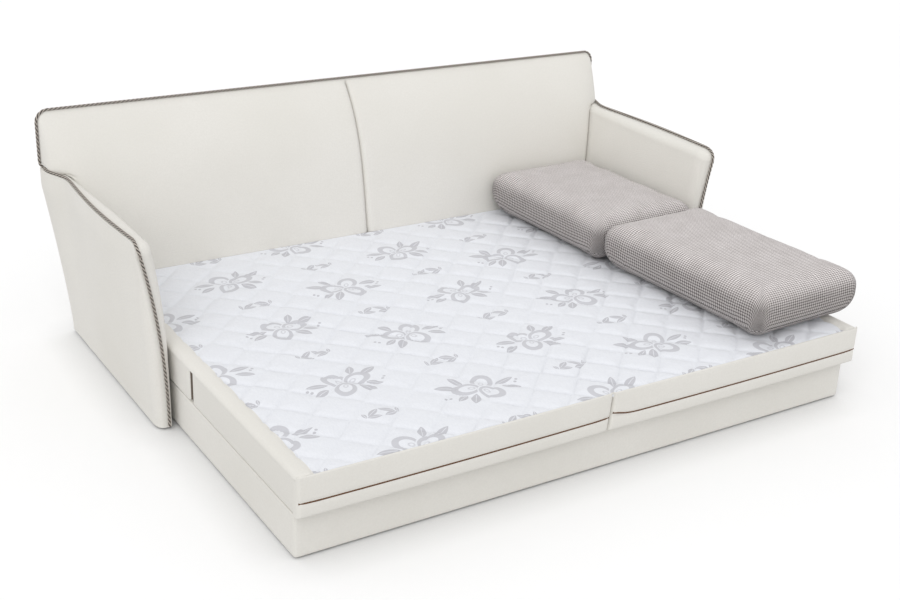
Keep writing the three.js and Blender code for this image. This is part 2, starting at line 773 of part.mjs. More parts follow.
// A castor under the ledger: a folded fork, an axle with heads and a plastic wheel
function addCastors() {
  const axleY = drawerBack + seatGap + wheelRadius + cutOverrun;
  const plateTop = beamTop - beamHeight - seatGap;
  const forkInner = wheelWidth / 2 + wheelSidePlay;
  const forkOuter = forkInner + forkWall;
  for (const [word, x] of [["left", -castorX], ["right", castorX]]) {
    const fork = new THREE.Shape([
      new THREE.Vector2(x - forkOuter, wheelRadius - axleHeadRadius),
      new THREE.Vector2(x - forkInner, wheelRadius - axleHeadRadius),
      new THREE.Vector2(x - forkInner, plateTop - forkWall),
      new THREE.Vector2(x + forkInner, plateTop - forkWall),
      new THREE.Vector2(x + forkInner, wheelRadius - axleHeadRadius),
      new THREE.Vector2(x + forkOuter, wheelRadius - axleHeadRadius),
      new THREE.Vector2(x + forkOuter, plateTop),
      new THREE.Vector2(x - forkOuter, plateTop),
    ]);
    const forkY = [axleY - forkWidth / 2, axleY + forkWidth / 2];
    const hole = new THREE.CylinderGeometry(axleRadius + seatGap, axleRadius + seatGap, 4 * forkOuter, 20);
    hole.rotateZ(Math.PI / 2).translate(x, axleY, wheelRadius);
    const plateX = [x - forkPlateDepth / 2, x + forkPlateDepth / 2];
    const plate = board(plateX, forkY, [plateTop - 2 * timberEdge, plateTop], "x");
    const body = solid(carried(fork, "y", ...forkY)).add(solid(plate)).subtract(solid(hole));
    piece(`castor_fork_${word}`, body, finishes.steel);

    const axleHalf = forkOuter + seatGap;
    const axleProfile = [
      [0, -axleHalf - axleHeadDepth],
      [axleHeadRadius, -axleHalf - axleHeadDepth],
      [axleHeadRadius, -axleHalf],
      [axleRadius, -axleHalf],
      [axleRadius, axleHalf],
      [axleHeadRadius, axleHalf],
      [axleHeadRadius, axleHalf + axleHeadDepth],
      [0, axleHalf + axleHeadDepth],
    ];
    const axle = new THREE.LatheGeometry(axleProfile.map(([r, h]) => new THREE.Vector2(r, h)), 20);
    axle.rotateZ(-Math.PI / 2).translate(x, axleY, wheelRadius);
    piece(`castor_axle_${word}`, axle, finishes.steel);

    const bore = axleRadius + runGap;
    const half = wheelWidth / 2;
    const web = half / 2;
    const rim = wheelRadius - 2 * treadRound;
    const wheelProfile = [
      [bore, -half],
      [wheelHubRadius, -half],
      [wheelHubRadius, -web],
      [rim, -web],
      [rim, -half],
      [wheelRadius - treadRound, -half],
      [wheelRadius, treadRound - half],
      [wheelRadius, half - treadRound],
      [wheelRadius - treadRound, half],
      [rim, half],
      [rim, web],
      [wheelHubRadius, web],
      [wheelHubRadius, half],
      [bore, half],
      [bore, -half],
    ];
    const wheel = new THREE.LatheGeometry(wheelProfile.map(([r, h]) => new THREE.Vector2(r, h)), 28);
    wheel.rotateZ(-Math.PI / 2).translate(x, axleY, wheelRadius);
    piece(`castor_wheel_${word}`, wheel, finishes.plastic);
  }
}

// Two loose cushions lying end to end along the right-hand side of the bed
function addCushions() {
  const form = {
    width: cushionWidth,
    thickness: cushionThickness,
    corner: cushionCorner,
    draw: cushionDraw,
    crown: cushionCrown,
    sidePoints: 3,
    sideReach: cushionEdgeReach,
    endReach: cushionEndReach,
    edgeSteps: 4,
    crownSteps: 3,
  };
  const turnRoom = (turn) => Math.abs(Math.sin(THREE.MathUtils.degToRad(turn))) * (cushionWidth / 2);
  const rearY = [cushionJoin + turnRoom(rearCushionTurn), bedDepth - rearCushionBackGap];
  const frontY = [frontCushionSetBack, cushionJoin - turnRoom(frontCushionTurn)];
  const places = {
    cushion_rear: [rearCushionX, rearY, rearCushionTurn],
    cushion_front: [frontCushionX, frontY, frontCushionTurn],
  };
  for (const [name, [x, y, turn]] of Object.entries(places)) {
    const length = y[1] - y[0] - 2 * softGap;
    const cushion = piece(name, padded({ ...form, length }), finishes.weave);
    cushion.rotation.z = THREE.MathUtils.degToRad(90 + turn);
    cushion.position.set(x, (y[0] + y[1]) / 2, bedTop + seatGap);
  }
}

addMattress();
addBack();
addArms();
addTrim();
addFixedFrame();
addDrawer();
addRunners();
addCastors();
addCushions();

const part = new THREE.Group();
part.add(sofa);

export default part;
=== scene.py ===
# A three-seat sleeper sofa with its bed made up: a corded back and two flared arms round a folding
# mattress, over a base that slides in as a drawer. Metres; +X runs along the sofa, +Y towards its
# back, +Z up.
import json
import math

import bmesh
import bpy
import numpy as np
from mathutils import Matrix, Vector


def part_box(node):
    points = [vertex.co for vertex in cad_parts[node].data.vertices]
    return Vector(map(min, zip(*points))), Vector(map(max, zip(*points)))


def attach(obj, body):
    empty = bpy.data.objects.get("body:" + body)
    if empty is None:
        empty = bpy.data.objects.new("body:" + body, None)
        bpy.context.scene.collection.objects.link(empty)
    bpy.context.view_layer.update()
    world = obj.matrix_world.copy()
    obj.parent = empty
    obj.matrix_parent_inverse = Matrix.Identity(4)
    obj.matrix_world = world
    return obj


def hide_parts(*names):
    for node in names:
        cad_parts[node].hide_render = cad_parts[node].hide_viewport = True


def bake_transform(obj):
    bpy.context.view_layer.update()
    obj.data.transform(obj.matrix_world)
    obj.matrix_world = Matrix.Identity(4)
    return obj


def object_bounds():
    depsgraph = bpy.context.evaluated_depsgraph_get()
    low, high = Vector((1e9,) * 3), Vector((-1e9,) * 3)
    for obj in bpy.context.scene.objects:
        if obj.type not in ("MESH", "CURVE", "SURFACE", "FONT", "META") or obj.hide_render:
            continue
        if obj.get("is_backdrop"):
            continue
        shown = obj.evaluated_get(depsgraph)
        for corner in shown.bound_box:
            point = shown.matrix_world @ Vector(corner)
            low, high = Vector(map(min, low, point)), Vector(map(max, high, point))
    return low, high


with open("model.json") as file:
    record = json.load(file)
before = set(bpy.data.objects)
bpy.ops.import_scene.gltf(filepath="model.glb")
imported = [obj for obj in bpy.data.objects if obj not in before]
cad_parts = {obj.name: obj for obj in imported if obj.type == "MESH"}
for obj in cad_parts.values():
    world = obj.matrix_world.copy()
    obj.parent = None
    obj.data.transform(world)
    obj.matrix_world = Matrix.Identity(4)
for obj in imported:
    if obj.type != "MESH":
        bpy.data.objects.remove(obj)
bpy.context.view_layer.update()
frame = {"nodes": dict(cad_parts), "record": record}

# Camera: left of the sofa's front, a little above standing eye height, looking down along the bed.
# Its place comes from the straight edges of the bed, base, arms and back.
camera_place = (-2.4365, -3.7347, 2.1658)
camera_turn = math.radians(-32.6863)
camera_tilt = math.radians(-23.2146)
camera_roll = math.radians(-2.3234)
camera_lens = 53.4
film_width = 36
lens = bpy.data.cameras.new("camera")
lens.sensor_fit = "HORIZONTAL"
lens.sensor_width = film_width
lens.lens = camera_lens
camera = bpy.data.objects.new("camera", lens)
bpy.context.scene.collection.objects.link(camera)
camera.matrix_world = (
    Matrix.Translation(camera_place)
    @ Matrix.Rotation(camera_turn, 4, "Z")
    @ Matrix.Rotation(camera_tilt, 4, "X")
    @ Matrix.Rotation(camera_roll, 4, "Y")
    @ Matrix.Rotation(math.pi / 2, 4, "X")
)
bpy.context.scene.camera = camera
bpy.context.scene.view_settings.view_transform = "Standard"

# Studio: an even pale room, broad soft light from the upper left, and a floor that the camera sees
# as white, with a painted shadow close to the sofa. What the camera sees of the room is white.
room_light = 0.88
side_light = 0.88
side_light_angle = 50
side_light_from = Vector((-0.49, -0.53, 0.70))
floor_side = 60
shadow_reach = 0.16
floor_tone = (0.71, 0.71, 0.71, 1)
floor_white = (0.955, 0.955, 0.955, 1)
floor_shadow = (0.60, 0.60, 0.60, 1)
world = bpy.data.worlds.new("room")
bpy.context.scene.world = world
world.use_nodes = True
room = world.node_tree
background = room.nodes["Background"]
path_kind = room.nodes.new("ShaderNodeLightPath")
seen = room.nodes.new("ShaderNodeMath")
seen.operation = "MAXIMUM"
room.links.new(path_kind.outputs["Is Camera Ray"], seen.inputs[0])
room.links.new(path_kind.outputs["Is Glossy Ray"], seen.inputs[1])
level = room.nodes.new("ShaderNodeMapRange")
level.inputs["To Min"].default_value = room_light
level.inputs["To Max"].default_value = 1.0
room.links.new(seen.outputs[0], level.inputs["Value"])
room.links.new(level.outputs[0], background.inputs["Strength"])
background.inputs["Color"].default_value = (1.0, 1.0, 1.0, 1.0)

lamp_data = bpy.data.lights.new("lamp", "SUN")
lamp_data.energy = side_light
lamp_data.angle = math.radians(side_light_angle)
lamp = bpy.data.objects.new("lamp", lamp_data)
lamp.rotation_euler = side_light_from.to_track_quat("Z", "Y").to_euler()
bpy.context.scene.collection.objects.link(lamp)

floor_mesh = bpy.data.meshes.new("floor")
floor_plan = bmesh.new()
bmesh.ops.create_grid(floor_plan, x_segments=1, y_segments=1, size=floor_side / 2)
floor_plan.to_mesh(floor_mesh)
floor_plan.free()
floor = bpy.data.objects.new("floor", floor_mesh)
bpy.context.scene.collection.objects.link(floor)
floor_finish = bpy.data.materials.new("floor")
floor_finish.use_nodes = True
paint = floor_finish.node_tree
floor_shader = paint.nodes["Principled BSDF"]
floor_shader.inputs["Roughness"].default_value = 0.9
floor_shader.inputs["Specular IOR Level"].default_value = 0.1
floor_path = paint.nodes.new("ShaderNodeLightPath")
floor_colour = paint.nodes.new("ShaderNodeMix")
floor_colour.data_type = "RGBA"
floor_colour.inputs["A"].default_value = floor_tone
# Painted shadow: the floor colour the camera sees darkens near the sofa, by ambient occlusion.
floor_painted_shadow = paint.nodes.new("ShaderNodeAmbientOcclusion")
floor_painted_shadow.samples = 8
floor_painted_shadow.inputs["Distance"].default_value = shadow_reach
floor_seen = paint.nodes.new("ShaderNodeMix")
floor_seen.data_type = "RGBA"
floor_seen.inputs["A"].default_value = floor_shadow
floor_seen.inputs["B"].default_value = floor_white
paint.links.new(floor_painted_shadow.outputs["AO"], floor_seen.inputs["Factor"])
paint.links.new(floor_seen.outputs["Result"], floor_colour.inputs["B"])
paint.links.new(floor_path.outputs["Is Camera Ray"], floor_colour.inputs["Factor"])
paint.links.new(floor_colour.outputs["Result"], floor_shader.inputs["Base Color"])
floor_mesh.materials.append(floor_finish)
floor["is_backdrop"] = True


# Mattress blocks: two foam blocks in cream cloth under one quilted cover. They part at the fold,
# where their corners are rounded.
bed_half = 1.085
block_front = -0.8725
fold_front = -0.1272
fold_rear = -0.1138
block_rear = 0.6869
block_low = 0.155
cover_low = 0.272
cover_front = -0.8975
bed_top = 0.288
block_corner = 0.018
fold_shade_width = 0.021
block_underside = 0.007
block_inset = 0.003
fold_shade_facing = 0.7
upright_share = 0.9
closeness = 1e-5
merge_distance = 1e-6


class Finish:
    """A material being made: each call adds one node and gives back its output."""

    def __init__(self, name, colour, roughness, specular=0.25, sheen=0.0, metallic=0.0):
        self.material = bpy.data.materials.new(name)
        self.material.use_nodes = True
        self.tree = self.material.node_tree
        self.shader = self.tree.nodes["Principled BSDF"]
        self.set(self.shader.inputs["Base Color"], (*colour, 1.0))
        self.set(self.shader.inputs["Roughness"], roughness)
        self.set(self.shader.inputs["Specular IOR Level"], specular)
        self.set(self.shader.inputs["Sheen Weight"], sheen)
        self.set(self.shader.inputs["Metallic"], metallic)
        self.coordinates = self.tree.nodes.new("ShaderNodeTexCoord")

    def set(self, socket, value):
        if isinstance(value, bpy.types.NodeSocket):
            self.tree.links.new(value, socket)
        else:
            socket.default_value = value

    def add(self, kind, output, settings=None, **inputs):
        node = self.tree.nodes.new(kind)
        for name, value in (settings or {}).items():
            setattr(node, name, value)
        for name, value in inputs.items():
            self.set(node.inputs[name.replace("_", " ")], value)
        return node.outputs[output]

    def placed(self, scale=(1, 1, 1), turn=(0, 0, 0)):
        source = self.coordinates.outputs["Object"]
        return self.add("ShaderNodeMapping", "Vector", Vector=source, Scale=scale, Rotation=turn)

    def noise(self, scale, detail=3.0, vector=None):
        vector = vector or self.coordinates.outputs["Object"]
        return self.add("ShaderNodeTexNoise", "Fac", Vector=vector, Scale=scale, Detail=detail)

    def ramp(self, value, low, high, to_low, to_high):
        node = self.tree.nodes.new("ShaderNodeMapRange")
        self.set(node.inputs["Value"], value)
        limits = {"From Min": low, "From Max": high, "To Min": to_low, "To Max": to_high}
        for name, number in limits.items():
            node.inputs[name].default_value = number
        return node.outputs[0]

    def mix(self, share, first, second):
        node = self.tree.nodes.new("ShaderNodeMix")
        node.data_type = "RGBA"
        self.set(node.inputs["Factor"], share)
        for name, colour in (("A", first), ("B", second)):
            plain = not isinstance(colour, bpy.types.NodeSocket)
            self.set(node.inputs[name], (*colour, 1) if plain else colour)
        return node.outputs["Result"]

    def colour(self, value):
        self.set(self.shader.inputs["Base Color"], value)

    def bump(self, height, distance, strength=1.0):
        node = self.tree.nodes.new("ShaderNodeBump")
        node.inputs["Strength"].default_value = strength
        node.inputs["Distance"].default_value = distance
        self.set(node.inputs["Height"], height)
        before = self.shader.inputs["Normal"]
        if before.is_linked:
            self.set(node.inputs["Normal"], before.links[0].from_socket)
        self.set(before, node.outputs["Normal"])


def cream_cloth():
    """Off-white upholstery cloth: a fine weave, a little uneven in tone, slightly brushed."""
    cloth = Finish("cream_cloth", (0.77, 0.75, 0.705), 0.82, specular=0.18, sheen=0.12)
    broad = cloth.noise(2.3, detail=2.0)
    fine = cloth.noise(160.0, detail=2.0)
    darker, paler, between = (0.755, 0.737, 0.69), (0.785, 0.767, 0.725), (0.70, 0.68, 0.635)
    tone = cloth.mix(cloth.ramp(broad, 0.35, 0.65, 0.0, 1.0), darker, paler)
    cloth.colour(cloth.mix(cloth.ramp(fine, 0.3, 0.7, 0.0, 0.35), tone, between))
    for turn in ((0, 0, 0), (0, 0, math.pi / 2), (0, math.pi / 2, 0)):
        along = cloth.placed(turn=turn)
        rib = cloth.add("ShaderNodeTexWave", "Fac", Vector=along, Scale=240.0, Distortion=2.5)
        cloth.bump(rib, 0.00025, 0.35)
    cloth.bump(cloth.noise(9.0, detail=4.0), 0.003, 0.25)
    return cloth.material


def painted_fold_shade_cloth():
    """Painted shade: dark brown on the facing ends of the blocks at both sides of the fold, for the shade
    in the slit.
    """
    cloth = Finish("painted_fold_shade_cloth", (0.16, 0.13, 0.11), 0.85, specular=0.15)
    weave = cloth.noise(700.0, detail=2.0)
    darker, paler = (0.13, 0.105, 0.088), (0.20, 0.165, 0.14)
    cloth.colour(cloth.mix(cloth.ramp(weave, 0.3, 0.7, 0.0, 1.0), darker, paler))
    cloth.bump(weave, 0.0004, 0.5)
    return cloth.material


cream = cream_cloth()
fold_shade_finish = painted_fold_shade_cloth()


def rows_of(items, name):
    """One property of every point or face of a mesh, three numbers each."""
    numbers = np.empty(len(items) * 3)
    items.foreach_get(name, numbers)
    return numbers.reshape(-1, 3)


def reshaped(mesh, rule):
    """Moves every point of a mesh by a rule on an array of points."""
    mesh.vertices.foreach_set("co", rule(rows_of(mesh.vertices, "co")).ravel())
    mesh.update()


def kept(name, bm, finish, sharp):
    """Closes a mesh's making: normals out, smooth shading with crisp edges, and its finish."""
    bmesh.ops.remove_doubles(bm, verts=bm.verts, dist=merge_distance)
    bmesh.ops.recalc_face_normals(bm, faces=bm.faces)
    mesh = bpy.data.meshes.new(name)
    bm.to_mesh(mesh)
    bm.free()
    mesh.shade_smooth()
    mesh.set_sharp_from_angle(angle=math.radians(sharp))
    mesh.materials.append(finish)
    piece = bpy.data.objects.new(name, mesh)
    bpy.context.scene.collection.objects.link(piece)
    return piece


def box(x, y, z):
    """A box between low and high corners."""
    bm = bmesh.new()
    bmesh.ops.create_cube(bm, size=1.0)
    bmesh.ops.scale(bm, vec=(x[1] - x[0], y[1] - y[0], z[1] - z[0]), verts=bm.verts)
    middle = ((x[0] + x[1]) / 2, (y[0] + y[1]) / 2, (z[0] + z[1]) / 2)
    bmesh.ops.translate(bm, vec=middle, verts=bm.verts)
    return bm


def rounded(bm, edges, radius, segments):
    bmesh.ops.bevel(
        bm, geom=edges, offset=radius, offset_type="OFFSET", segments=segments,
        profile=0.5, affect="EDGES", material=-1,
    )


def cut_at(bm, axis, place):
    """Cuts a mesh by a plane across one axis."""
    normal = Vector((0, 0, 0))
    normal[axis] = 1
    parts = bm.verts[:] + bm.edges[:] + bm.faces[:]
    bmesh.ops.bisect_plane(bm, geom=parts, plane_co=normal * place, plane_no=normal, dist=merge_distance)


def edges_at(bm, axis, place):
    """The edges that lie in a plane across one axis."""
    return [e for e in bm.edges if all(abs(v.co[axis] - place) < closeness for v in e.verts)]


def upright(edge):
    return abs(edge.verts[0].co.z - edge.verts[1].co.z) > upright_share * edge.calc_length()


def middle_of(edge):
    return (edge.verts[0].co + edge.verts[1].co) / 2


def add_block(name, y, fold_y, node, body):
    half = bed_half - block_inset
    bm = box((-half, half), y, (block_low, cover_low))
    corners = [e for e in bm.edges if upright(e) and abs(middle_of(e).y - fold_y) < block_corner]
    rounded(bm, corners, block_corner, 6)
    rounded(bm, edges_at(bm, 2, block_low), block_underside, 3)
    for side in (-1, 1):
        cut_at(bm, 0, side * (bed_half - fold_shade_width))
    block = kept(name, bm, cream, sharp=35)
    block.data.materials.append(fold_shade_finish)
    # Painted shade: the fold ends of each block near the bed's sides take the dark finish, so the slit at
    # the fold looks shadowed.
    for face in block.data.polygons:
        at_fold = abs(face.normal.y) > fold_shade_facing and abs(face.center.y - fold_y) < block_corner
        face.material_index = int(at_fold and abs(face.center.x) > bed_half - fold_shade_width)
    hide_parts(node)
    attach(block, body)


add_block("front_block", (block_front, fold_front), fold_front, "front_mattress", "folding_section")
add_block("rear_block", (fold_rear, block_rear), fold_rear, "rear_mattress", "sofa_frame")


# Quilted cover: one ticking panel over both blocks, with cream margins down its sides. It is
# stitched through its wadding in staggered diamonds. The ticking's small flower sprigs stand in
# staggered rows and are drawn by rule, each petal and leaf from its own arc.
quilt_half = 1.031
cover_edge = 0.014
cover_pitch = 0.0074
diamond_pitch = 0.12
diamond_side = 0.126
diamond_start = (0.055, -0.9225)
stitch_depth = 0.0085
stitch_width = 0.0052
stitch_outside = 0.45
stitch_slack = 0.38
slack_waves = (5.3, 6.1)
pillow_reach = 0.05
pillow_rise = 0.006
pillow_inside = 0.5
uneven_depth = 0.0018
uneven_waves = (17.1, 13.7)
pucker_depth = 0.0011
pucker_reach = 0.022
pucker_waves = (131, 117)
pucker_wander = (37, 41)
quilt_fade = 0.05
seam_depth = 0.004
seam_reach = 0.008
seam_curve = 1.5
margin_dip = 0.0015
print_fall = 0.012
sprig_columns = 0.70
sprig_rows = 0.225
sprig_scale = 1.06
print_soft = 0.0016
midrib_width = 0.0011
midrib_soft = 0.0012
petal_soft = 0.07
petal_gap = 1.12
heart_soft = 0.2
bud_radius = 0.0048
# A petal has an angle, a length and a width; a leaf has its centre before these; a bud has a centre.
petals = ((128, 0.080, 0.068), (14, 0.088, 0.064), (242, 0.084, 0.066))
leaves = (
    (0.092, 0.040, 26, 0.072, 0.027), (0.046, 0.066, 66, 0.056, 0.026),
    (-0.090, 0.010, 172, 0.070, 0.024), (-0.092, -0.030, 204, 0.060, 0.024),
    (0.046, -0.052, -56, 0.062, 0.030), (0.078, -0.034, -28, 0.052, 0.022),
)
small_leaves = (
    (-0.022, 0.010, 34, 0.050, 0.020), (-0.026, -0.012, -12, 0.044, 0.017),
    (-0.052, 0.004, 100, 0.026, 0.012),
)
buds = ((-0.116, -0.012), (-0.126, -0.002), (0.112, -0.020), (0.122, -0.010))


class Number:
    """A number worked out by a material's math nodes, so that sums read as sums."""

    def __init__(self, finish, socket):
        self.finish = finish
        self.socket = socket

    def do(self, operation, *others):
        node = self.finish.tree.nodes.new("ShaderNodeMath")
        node.operation = operation
        for socket, value in zip(node.inputs, (self, *others)):
            self.finish.set(socket, value.socket if isinstance(value, Number) else value)
        return Number(self.finish, node.outputs[0])

    def __add__(self, other):
        return self.do("ADD", other)

    def __sub__(self, other):
        return self.do("SUBTRACT", other)

    def __mul__(self, other):
        return self.do("MULTIPLY", other)

    def __truediv__(self, other):
        return self.do("DIVIDE", other)

    def wrapped(self, length):
        """The distance from the nearest whole multiple of a length, with its sign."""
        return self.do("WRAP", length / 2, -length / 2)

    def below(self, limit, soft):
        """1 below a limit and 0 above it, over a soft edge."""
        return ((self * -1 + limit) / soft + 0.5).do("MINIMUM", 1.0).do("MAXIMUM", 0.0)

    def either(self, other):
        return self.do("MAXIMUM", other)


def diamonds(points):
    """How far each point of the cover lies from the nearest stitch line, and 1 inside a stitched
    diamond."""
    turned = math.sqrt(0.5)
    x = points[:, 0] - diamond_start[0]
    y = points[:, 1] - diamond_start[1]
    u = (x + y) * turned / diamond_pitch
    v = (y - x) * turned / diamond_pitch
    half = diamond_side / diamond_pitch / 2
    nearest = np.full(len(points), np.inf)
    inside = np.zeros(len(points))
    for along in (-1, 0, 1):
        for across in (-1, 0, 1):
            i = np.round(u) + along
            j = np.round(v) + across
            gap = (half - np.maximum(np.abs(u - i), np.abs(v - j))) * diamond_pitch
            stitched = (i + j) % 2 == 0
            nearest = np.where(stitched, np.minimum(nearest, np.abs(gap)), nearest)
            inside = np.where(stitched & (gap > 0), 1.0, inside)
    return nearest, inside


def stitch_pull(x, y):
    """How tight the stitching is: it slackens here and there."""
    waves = np.sin(x * slack_waves[0] + 1) * np.sin(y * slack_waves[1] + x * 2)
    return 1 - stitch_slack + stitch_slack * waves


def quilted_ticking():
    """White knitted ticking with a silver-grey woven pattern, a grey slub, and painted shade along its
    stitch lines.
    """
    white = (0.80, 0.815, 0.855)
    silver = (0.535, 0.535, 0.57)
    slub_grey_and_groove_shade = (0.69, 0.705, 0.75)
    ticking = Finish("quilted_ticking", white, 0.6, specular=0.3, sheen=0.15)
    parts = ticking.tree.nodes.new("ShaderNodeSeparateXYZ")
    ticking.set(parts.inputs[0], ticking.coordinates.outputs["Object"])
    x = Number(ticking, parts.outputs["X"])
    y = Number(ticking, parts.outputs["Y"])

    row = (y / sprig_rows).do("ROUND")
    odd = row.do("PINGPONG", 1.0)
    facing = odd * -2 + 1
    v = y - row * sprig_rows
    u = (x + odd * (sprig_columns / 2)).wrapped(sprig_columns) * facing / sprig_scale
    v = v / sprig_scale

    def leaf(centre_u, centre_v, angle, length, width):
        """A pointed leaf with a pale midrib."""
        cos, sin = math.cos(math.radians(angle)), math.sin(math.radians(angle))
        du, dv = u - centre_u, v - centre_v
        along = (du * cos + dv * sin) / (length / 2)
        across = (dv * cos - du * sin).do("ABSOLUTE")
        side = (along * along * -1 + 1) * (width / 2)
        inside = (across - side).below(0, print_soft)
        rib = across.below(midrib_width, midrib_soft) * along.do("ABSOLUTE").below(0.75, 0.1)
        return inside * (rib * -0.8 + 1)

    def bud(centre_u, centre_v):
        du, dv = u - centre_u, v - centre_v
        return (du * du + dv * dv).do("SQRT").below(bud_radius, print_soft)

    def petal(angle, length, width):
        """A rounded petal: a broad grey rim, a pale middle and a small grey heart at its root."""
        cos, sin = math.cos(math.radians(angle)), math.sin(math.radians(angle))
        run = (u * cos + v * sin) / (length / 2) - 1
        across = (v * cos - u * sin) / (width / 2)
        across = across * across

        def oval(shift, narrow, flat):
            """How far out a point lies in an oval that sits a little towards the petal's root."""
            moved = run + shift
            return (moved * moved * narrow + across * flat).do("SQRT")

        edge = (run * run + across).do("SQRT")
        rim = edge.below(1.0, petal_soft) - oval(0.14, 2.5, 2.9).below(1.0, petal_soft)
        heart = oval(0.42, 12, 16)
        ring = heart.below(1.0, heart_soft) - heart.below(0.5, heart_soft)
        return rim * 0.85 + ring * 0.6, edge.below(petal_gap, petal_soft)

    pattern = petal(*petals[0])[0]
    for numbers in petals[1:]:
        ink, cleared = petal(*numbers)
        pattern = pattern * (cleared * -1 + 1) + ink
    for numbers in leaves:
        pattern = pattern.either(leaf(*numbers))
    for centre in buds:
        pattern = pattern.either(bud(*centre))
    u = u.do("ABSOLUTE") - sprig_columns / 2 / sprig_scale
    for numbers in small_leaves:
        pattern = pattern.either(leaf(*numbers))

    # Painted shade: the 'stitched' attribute greys the ticking along the stitch lines, where the grooves
    # would be in shade.
    painted_groove_shade = ticking.add("ShaderNodeAttribute", "Fac", {"attribute_name": "stitched"})
    rib = ticking.add("ShaderNodeTexWave", "Fac", Vector=ticking.placed(), Scale=150.0, Distortion=1.5)
    slub = ticking.noise(260.0, detail=2.0, vector=ticking.placed(scale=(1.0, 0.3, 1.0)))
    base = ticking.mix(ticking.ramp(slub, 0.35, 0.7, 0.0, 0.35), white, slub_grey_and_groove_shade)
    printed = ticking.mix(pattern.socket, base, silver)
    ticking.colour(ticking.mix(ticking.ramp(painted_groove_shade, 0.2, 1.0, 0.0, 0.14), printed, slub_grey_and_groove_shade))
    ticking.bump(rib, 0.0006, 0.3)
    ticking.bump(slub, 0.001, 0.35)
    ticking.bump(pattern.socket, 0.0008, 0.4)
    return ticking.material


def sheet_closed(bm):
    """Joins the left and right sides of a flat grid into a tube, and fills its two ends."""
    bmesh.ops.bridge_loops(bm, edges=edges_at(bm, 0, -1) + edges_at(bm, 0, 1))
    for end in (-1, 1):
        edges = [e for e in edges_at(bm, 1, end) if e.is_boundary]
        bmesh.ops.holes_fill(bm, edges=edges, sides=0)


def add_cover():
    rim = cover_edge * math.pi / 2
    flat = bed_half - cover_edge
    reach = flat + rim + (bed_top - cover_edge - cover_low)
    across = 2 * round(reach / cover_pitch)
    along = round((block_rear - cover_front) / cover_pitch)
    bm = bmesh.new()
    bmesh.ops.create_grid(bm, x_segments=across, y_segments=along, size=1.0)
    sheet_closed(bm)
    cover = kept("quilted_cover", bm, quilt, sharp=40)

    def lay(points):
        run = points[:, 0] * reach
        gone = np.abs(run)
        turn = np.clip((gone - flat) / cover_edge, 0, math.pi / 2)
        fall = np.clip(gone - flat - rim, 0, None)
        x = np.sign(run) * (np.minimum(gone, flat) + cover_edge * np.sin(turn))
        y = cover_front + (points[:, 1] + 1) / 2 * (block_rear - cover_front)
        z = bed_top - cover_edge * (1 - np.cos(turn)) - fall
        placed = np.stack([x, y, z], axis=1)
        gap, inside = diamonds(placed)
        in_quilt = gone < quilt_half
        share = stitch_outside + (1 - stitch_outside) * inside
        sunk = stitch_depth * np.exp(-gap / stitch_width) * share * stitch_pull(x, y)
        flat_share = (1 - np.clip(gap / pillow_reach, 0, 1)) ** 2
        low = pillow_rise * flat_share * (1 - pillow_inside * inside)
        uneven = 0.5 + 0.5 * np.sin(x * uneven_waves[0] + 1.3) * np.sin(y * uneven_waves[1] + 0.4)
        pucker = np.sin(x * pucker_waves[0] + 2 * np.sin(y * pucker_wander[0]))
        pucker = pucker * np.sin(y * pucker_waves[1] + 2 * np.sin(x * pucker_wander[1]))
        fading = np.clip((block_rear - y) / quilt_fade, 0, 1)
        relief = sunk + low + uneven * uneven_depth + pucker * pucker_depth * np.exp(-gap / pucker_reach)
        z = z - np.where(in_quilt, relief * fading, 0)
        from_seam = np.abs(gone - quilt_half)
        z = z - seam_depth * (1 - np.clip(from_seam / seam_reach, 0, 1)) ** seam_curve
        margin = np.clip((gone - quilt_half) / (flat - quilt_half), 0, 1)
        z = z - np.where(in_quilt, 0, margin_dip * (1 - np.sin(math.pi * margin)))
        lowered = seam_depth * (1 - np.clip((y - cover_front) / seam_reach, 0, 1)) ** seam_curve
        return np.stack([x, y, np.maximum(z - lowered, cover_low)], axis=1)

    reshaped(cover.data, lay)
    cover.data.materials.append(cream)
    points = rows_of(cover.data.vertices, "co")
    # Painted shade: how strongly the ticking is greyed near each stitch line, standing for shade in the
    # grooves.
    stitched = cover.data.attributes.new("stitched", "FLOAT", "POINT")
    near_stitch = np.exp(-((diamonds(points)[0] / stitch_width) ** 2))
    shown = near_stitch * stitch_pull(points[:, 0], points[:, 1])
    stitched.data.foreach_set("value", shown.astype(np.float32))
    for face in cover.data.polygons:
        plain = abs(face.center.x) > quilt_half or face.center.z < bed_top - print_fall
        face.material_index = int(plain)
    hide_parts("hinge_strip")
    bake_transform(cover)


quilt = quilted_ticking()
add_cover()


# Front border: two padded halves along the front edge of the folding block, each bowed a little
# and crossed by a thin brown piping sewn into a seam below its middle.
border_rear = -0.8728
border_face = -0.904
border_top = 0.2865
border_lip_gap = 0.0006
border_end = 0.010
border_top_round = 0.004
border_bow = 0.005
border_split = 0.002
border_pad = 0.0035
border_fullness = 0.6
border_pad_fade = 6
border_pitch = 0.03
border_row = 0.006
border_end_cuts = (0.003, 0.008, 0.014)
border_lean = 0.012
border_lean_reach = 0.05
border_lean_curve = 1.5
piping_turn = 0.014
piping_turn_reach = 0.05
border_round = 0.009
piping_height = 0.204
piping_radius = 0.0030
piping_inset = 0.004
piping_lead = 0.008
piping_sunk = 0.0006
piping_groove = 0.003
piping_groove_reach = 0.006


